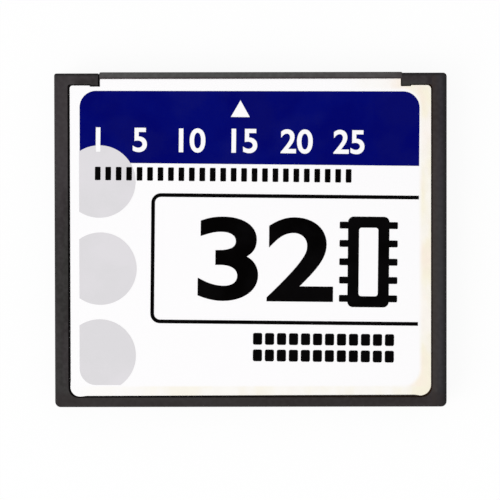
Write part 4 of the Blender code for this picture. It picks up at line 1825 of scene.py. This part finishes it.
@dataclass
class PrintedLabel:
    """The label in the upper recess: a film sheet, and its print as thin layers of ink.

    The fields of the print are scaled from the photograph, from the middle of the card.

    Attributes:
        left: The left edge of the print.
        right: Its right edge.
        front: Its edge towards the connector.
        rear: Its rear edge.
        field_radius: The radius of the print's corners.
        band_rear: The rear edge of the blue band.
        turn: How far the artwork is turned on the label.
        right_lean: How much further right the print's front right corner is than its rear one.
        front_fall: How much further back it is than the front left one.
        arrow_x: Where the white arrow's tip is along X.
        arrow_tip: Where it is along Y.
        arrow_width: The arrow's width.
        arrow_height: The arrow's height.
        disc_radius: The radius of the grey discs.
        disc_places: Where their middles lie.
        disc_past: How much further left they reach than the band.
        rule_left: The left edge of the ruled box.
        rule_front: Its front edge.
        rule_height: Its height.
        rule_width: The width of its line.
        rule_radius: The radius of its corners.
        number: The figures of the large number in it.
        scale: The marks of the scale under the band.
        counted: The marks that have their number in the band.
        count_foot: Where the foot of those numbers is along Y.
        count_height: How high they are.
        chip: The outline of the chip sign.
        chip_opening: What is cut from its middle.
        leads: The sign's leads.
        pads: The two rows of pads.
        left_trim: How much the film falls short of the covers at the left.
        left_lean: How much further left its front left corner is.
        right_trim: How much the film falls short of the covers at the right.
        rear_trim: The same at its right rear corner, to the rear.
        tongue_trim: The same at the left of its tongue between the arms.
        corner_reach: How far from the sides its rear corners begin to stand out.
        left_swell: How far the left one stands out, to the side and to the rear.
        right_swell: The same for the right one.
        film_sink: How far the film's face lies below the frame's.
        film_thickness: The film's thickness.
        soft_edge: The rounding of its edges.
        bond: How far each ink reaches into the film.
        colour_ink: How thick the coloured inks lie.
        black_ink: How thick the black ink lies.
    """

    left: float = -0.01863
    right: float = 0.0182
    front: float = 0.01626
    rear: float = -0.01586
    field_radius: float = 0.0018
    band_rear: float = 0.00823
    turn: float = -0.0115
    right_lean: float = 0.00025
    front_fall: float = 0.00012
    arrow_x: float = -0.00126
    arrow_tip: float = 0.01519
    arrow_width: float = 0.00208
    arrow_height: float = 0.00183
    disc_radius: float = 0.00395
    disc_places: tuple[Pair, ...] = (
        (-0.0165, 0.00637), (-0.01641, -0.003135), (-0.01652, -0.01262)
    )
    disc_past: float = 0.00008
    rule_left: float = -0.01088
    rule_front: float = 0.00498
    rule_height: float = 0.0142
    rule_width: float = 0.0004
    rule_radius: float = 0.00105
    number: tuple[Figures, ...] = (
        Figures("3", -0.00245, -0.00671, 0.0092, 0.00659),
        Figures("2", 0.00542, -0.00671, 0.0092, 0.00725),
    )
    scale: PrintedBlock = PrintedBlock(
        (-0.01706, 0.00633), (-0.01644, 0.0078), 0.0001, columns=25, pitch=(0.00114, 0.0)
    )
    counted: tuple[int, ...] = (1, 5, 10, 15, 20, 25)
    count_foot: float = 0.00943
    count_height: float = 0.00266
    chip: PrintedBlock = PrintedBlock((0.01062, -0.00725), (0.01513, 0.00264), 0.0006)
    chip_opening: PrintedBlock = PrintedBlock((0.01182, -0.00605), (0.01393, 0.00144), 0.0003)
    leads: PrintedBlock = PrintedBlock(
        (0.0097, -0.00668), (0.01072, -0.00593), 0.00012, columns=2, rows=5, pitch=(0.00533, 0.002)
    )
    pads: PrintedBlock = PrintedBlock(
        (0.00036, -0.01327), (0.00136, -0.01198), 0.0002, columns=12, rows=2, pitch=(0.00131, 0.00181)
    )
    left_trim: float = 0.00004
    left_lean: float = 0.00002
    right_trim: float = 0.00003
    rear_trim: float = 0.00009
    tongue_trim: float = 0.00009
    corner_reach: float = 0.0018
    left_swell: Pair = (0.00004, 0.00008)
    right_swell: Pair = (0.0, 0.0001)
    film_sink: float = 0.00005
    film_thickness: float = 0.0001
    soft_edge: float = 0.00002
    bond: float = 0.00001
    colour_ink: float = 0.000012
    black_ink: float = 0.000017

    @property
    def film_top(self) -> float:
        """The height of the film's upper face."""
        return SIZES.high.z - self.film_sink

    @property
    def under(self) -> float:
        """The height of the inks' underside."""
        return self.film_top - self.bond

    @property
    def through(self) -> Pair:
        """The heights between which a shape cuts through the print."""
        return self.film_top - PAST, self.film_top + PAST

    def film(self) -> Piece:
        """Models the film, a little smaller than its recess and with slightly rounded edges.

        Returns:
            The film.
        """
        outline = SIZES.panel_outline()
        tips = outline.tip_side + WELD
        begin, back = outline.side - self.corner_reach, outline.rear + self.corner_reach
        bottom = self.film_top - self.film_thickness
        film = outline.plate("label_film", bottom, self.film_top, segments=10)
        with editing(film, "VERT"):
            cut_across((-begin, 0, 0), (1, 0, 0))
            cut_across((begin, 0, 0), (1, 0, 0))
            cut_across((0, back, 0), (0, 1, 0))
            for side, trim, rear_trim, (out, aft) in (
                (-1, self.left_trim, 0.0, self.left_swell),
                (1, self.right_trim, self.rear_trim, self.right_swell),
            ):
                for test, move in (
                    (lambda v: v.x * side > begin + WELD and v.y < back - WELD, (side * out, -aft, 0)),
                    (lambda v: v.x * side > tips, (-side * trim, 0, 0)),
                    (lambda v: v.x * side > 0 and v.y < back - WELD, (0, rear_trim, 0)),
                ):
                    shift(film, test, move)
            shift(film, lambda v: v.x < -tips and v.y > 0, (-self.left_lean, 0, 0))
            shift(film, lambda v: near(v.x, -outline.left_gate), (self.tongue_trim, 0, 0))
        return refine(film, self.soft_edge)

    def field(self, past_left: float = 0.0) -> Piece:
        """The print's whole area, as a shape to clip with.

        Args:
            past_left: How much further left it reaches.

        Returns:
            The shape.
        """
        low = (self.left - past_left, self.rear, self.film_top - PAST)
        field = sheet("print_field", low, (self.right, self.front, low[2]))
        lean = (self.right_lean, -self.front_fall, 0)
        with editing(field, "VERT"):
            shift(field, lambda v: near(v.x, self.right) and near(v.y, self.front), lean)
            round_off(field, "verts", lambda v: True, self.field_radius, segments=12)
        return thicken(field, 2 * PAST)

    def turned(self, piece: Piece) -> Piece:
        """Turns a piece of the artwork as it lies on the label, slightly askew.

        Args:
            piece: The piece.

        Returns:
            The piece.
        """
        piece.rotation_euler.z = self.turn
        make_active(piece)
        bpy.ops.object.transform_apply(location=False, rotation=True, scale=False)
        return piece

    def arrow(self) -> Piece:
        """Models the arrow in the band that points to the connector.

        Returns:
            The shape to cut.
        """
        # The width and height of a triangle whose corners lie on a circle of radius 1.
        width, height = math.sqrt(3), 1.5
        bpy.ops.object.select_all(action="DESELECT")
        place = (self.arrow_x, self.arrow_tip - self.arrow_height / height, self.film_top)
        bpy.ops.mesh.primitive_cylinder_add(vertices=3, radius=1, depth=2 * PAST, location=place)
        arrow = bpy.context.object
        arrow.scale = (self.arrow_width / width, self.arrow_height / height, 1)
        return settle(arrow, "arrow")

    def scale_numbers(self) -> Piece:
        """Models the numbers over the scale's marks.

        Returns:
            The numbers, as one shape to cut.
        """
        first = (self.scale.low[0] + self.scale.high[0]) / 2
        made = []
        for column in self.counted:
            middle = first + (column - 1) * self.scale.pitch[0]
            number = Figures(str(column), middle, self.count_foot, self.count_height)
            made.append(number.build(*self.through))
        return self.turned(joined("scale_numbers", made))

    def colours(self) -> list[Piece]:
        """Models the blue band with its arrow and numbers left white, and the discs over it.

        Returns:
            The band and the discs.
        """
        top = self.film_top + self.colour_ink
        numbers = self.scale_numbers()
        low = (self.left - PAST, self.band_rear, self.under)
        high = (self.right + self.right_lean + PAST, self.front + 2 * PAST, top)
        band = self.turned(block("ink_band", low, high))
        combine(band, "INTERSECT", [self.field()])
        bite = disc("bite", self.disc_places[0], self.disc_radius, *self.through)
        combine(band, "DIFFERENCE", [bite, self.turned(self.arrow()), copy_of(numbers)])
        discs = []
        for centre in self.disc_places:
            discs.append(disc("disc", centre, self.disc_radius, self.under, top))
            combine(discs[-1], "INTERSECT", [self.field(self.disc_past)])
        grey = joined("ink_discs", discs)
        combine(grey, "DIFFERENCE", [numbers])
        return [band, grey]

    def ruled_box(self, top: float) -> Piece:
        """The line round the large number, which runs off the print at the right.

        Args:
            top: The height of its upper face.

        Returns:
            The line.
        """
        line, left, front = self.rule_width, self.rule_left, self.rule_front
        rear, right = front - self.rule_height, self.right + self.right_lean + PAST
        outer = PrintedBlock((left, rear), (right, front), self.rule_radius, corners=Corners.LEFT)
        inner = replace(
            outer,
            low=(left + line, rear + line),
            high=(right + PAST, front - line),
            radius=self.rule_radius - line,
        )
        box = outer.build("ink_ruled_box", self.under, top)
        combine(box, "DIFFERENCE", [inner.build("inner", *self.through)])
        combine(self.turned(box), "INTERSECT", [self.field()])
        return box

    def marks(self) -> list[Piece]:
        """Models what is printed in black.

        Returns:
            The ruled box, the number in it, the scale, the chip sign and the pads.
        """
        heights = (self.under, self.film_top + self.black_ink)
        box = self.ruled_box(heights[1])
        number = joined("ink_number", [figure.build(*heights) for figure in self.number])
        scale = self.scale.build("ink_scale", *heights)
        chip = self.chip.build("ink_chip", *heights)
        combine(chip, "DIFFERENCE", [self.chip_opening.build("opening", *self.through)])
        combine(chip, "UNION", [self.leads.build("leads", *heights)])
        pads = self.pads.build("ink_pads", *heights)
        return [box] + [self.turned(piece) for piece in (number, scale, chip, pads)]

    def make(self, finishes: Finishes) -> None:
        """Models the film and the inks and dresses them.

        Args:
            finishes: The card's finishes.
        """
        dress(self.film(), finishes.film, "label_vinyl", "front_label")
        for piece, finish in zip(self.colours(), (finishes.blue, finishes.grey)):
            dress(piece, finish, "label_vinyl")
        for piece in self.marks():
            dress(piece, finishes.black, "label_vinyl")


class InnerParts:
    """The contacts, the board and the chips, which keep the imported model's meshes."""

    def make(self, finishes: Finishes) -> None:
        """Gives each kind of node its finish.

        Args:
            finishes: The card's finishes.
        """
        for prefix, finish in (
            ("contact_", finishes.gold),
            ("circuit_board", finishes.board),
            ("controller_chip", finishes.chips),
            ("flash_chip", finishes.chips),
        ):
            nodes = [node for name, node in frame["nodes"].items() if name.startswith(prefix)]
            for slot in (slot for node in nodes for slot in node.material_slots):
                slot.material = finish.material()
            LOG.info("%s: %d nodes, finish %s", prefix, len(nodes), finish.name)


# The studio


@dataclass(frozen=True)
class Studio:
    """A plain pale studio with soft light all round, one large soft lamp and the camera.

    Attributes:
        fill: The level of the light from all round.
        lamp_power: The lamp's power.
        lamp_size: The side of the lamp.
        lamp_place: Where it stands.
        floor_half: Half the side of the floor.
        floor_colour: The floor's colour.
        floor_glow: The share of plain white in the floor as the camera sees it.
        floor_clear: How near to the floor light passes through it.
        overhead: The level that mirrors show straight above the card.
        horizon: Between which heights of the sky they fade from white to that level.
        sensor: The width of the camera's sensor, in millimetres.
        lens: The camera's focal length, in millimetres.
        view_width: How much of the card's plane the picture takes in.
        aim: The middle of the picture, on the card's upper face.
        tilt: How far the camera leans, from the front.
        roll: How far it is turned.
    """

    fill: float = 0.676
    lamp_power: float = 14.8
    lamp_size: float = 1.2
    lamp_place: Point = (-1.0, -0.6, 0.9)
    floor_half: float = 2.0
    floor_colour: Colour = (0.94, 0.94, 0.94)
    floor_glow: float = 0.92
    floor_clear: float = 0.005
    overhead: float = 0.015
    horizon: Pair = (-0.3, 0.5)
    sensor: float = 36.0
    lens: float = 120.0
    view_width: float = 0.05456
    aim: Pair = (-0.00007, -0.00112)
    tilt: float = math.radians(0.9)
    roll: float = math.radians(-0.09)

    def camera(self) -> None:
        """Sets the camera at the photograph's angle."""
        away = self.view_width * self.lens / self.sensor
        lean = Vector((0, math.sin(self.tilt), math.cos(self.tilt))) * away
        place = Vector((*self.aim, SIZES.high.z)) + lean
        bpy.ops.object.select_all(action="DESELECT")
        bpy.ops.object.camera_add(location=place, rotation=(-self.tilt, 0, self.roll))
        camera = bpy.context.object
        camera.data.lens = self.lens
        camera.data.sensor_width = self.sensor
        camera.data.clip_start = away / 10  # Nothing stands nearer.
        bpy.context.scene.camera = camera

    def world(self) -> None:
        """Sets the even light, and the white that the camera and mirrors see."""
        world = bpy.data.worlds.new("studio_light")
        world.use_nodes = True
        bpy.context.scene.world = world
        graph = Graph(world.node_tree)
        even = world.node_tree.nodes["Background"]
        even.inputs["Color"].default_value = (1, 1, 1, 1)
        even.inputs["Strength"].default_value = self.fill
        path = graph.add("ShaderNodeLightPath").outputs
        camera = path["Is Camera Ray"]
        up = graph.split(graph.add("ShaderNodeTexCoord").outputs["Generated"])[2]
        level = graph.largest(graph.ramp(up, *self.horizon, 1.0, self.overhead), camera)
        white = graph.add("ShaderNodeBackground", {"Color": (1, 1, 1, 1), "Strength": level})
        seen = graph.largest(camera, path["Is Glossy Ray"], path["Is Transmission Ray"])
        mixed = graph.mix_shaders(seen, even, white)
        graph.link(mixed.outputs[0], world.node_tree.nodes["World Output"], "Surface")

    def lamp(self) -> None:
        """Hangs the large soft lamp, turned to the card."""
        bpy.ops.object.select_all(action="DESELECT")
        place = Vector(self.lamp_place)
        turn = place.to_track_quat("Z", "Y").to_euler()
        bpy.ops.object.light_add(type="AREA", location=place, rotation=turn)
        lamp = bpy.context.object.data
        lamp.size = self.lamp_size
        lamp.energy = self.lamp_power

    def floor(self) -> None:
        """Lays the pale floor, which is clear from below and lets light through near the card."""
        half, level = self.floor_half, SIZES.low.z - 2 * WELD
        floor = sheet("studio_floor", (-half, -half, level), (half, half, level))
        material = bpy.data.materials.new("studio_floor")
        material.use_nodes = True
        graph = Graph(material.node_tree)
        surface = material.node_tree.nodes["Principled BSDF"]
        surface.inputs["Base Color"].default_value = (*self.floor_colour, 1.0)
        surface.inputs["Roughness"].default_value = 1.0
        surface.inputs["Specular IOR Level"].default_value = 0.0
        path = graph.add("ShaderNodeLightPath").outputs
        rays = (path[f"Is {kind} Ray"] for kind in ("Camera", "Glossy", "Transmission"))
        white = graph.add("ShaderNodeEmission", {"Color": (1, 1, 1, 1), "Strength": 1.0})
        share = graph.times(graph.largest(*rays), self.floor_glow)
        pale = graph.mix_shaders(share, surface, white)
        close = graph.math("LESS_THAN", path["Ray Length"], self.floor_clear)
        below = graph.add("ShaderNodeNewGeometry").outputs["Backfacing"]
        clear = graph.add("ShaderNodeBsdfTransparent")
        whole = graph.mix_shaders(graph.largest(close, below), pale, clear)
        graph.link(whole.outputs[0], material.node_tree.nodes["Material Output"], "Surface")
        floor.data.materials.append(material)

    def build(self) -> None:
        """Sets up the whole studio."""
        bpy.context.scene.view_settings.view_transform = "Standard"
        self.camera()
        self.world()
        self.lamp()
        self.floor()


def main() -> None:
    """Builds the studio, then models and dresses every piece in order."""
    logging.basicConfig(level=logging.INFO, format="%(message)s")
    finishes = Finishes()
    Studio().build()
    for assembly in (
        FrameMoulding(), ConnectorHousing(), CoverSheet(), PrintedLabel(), InnerParts()
    ):
        assembly.make(finishes)


if __name__ == "__main__":
    main()
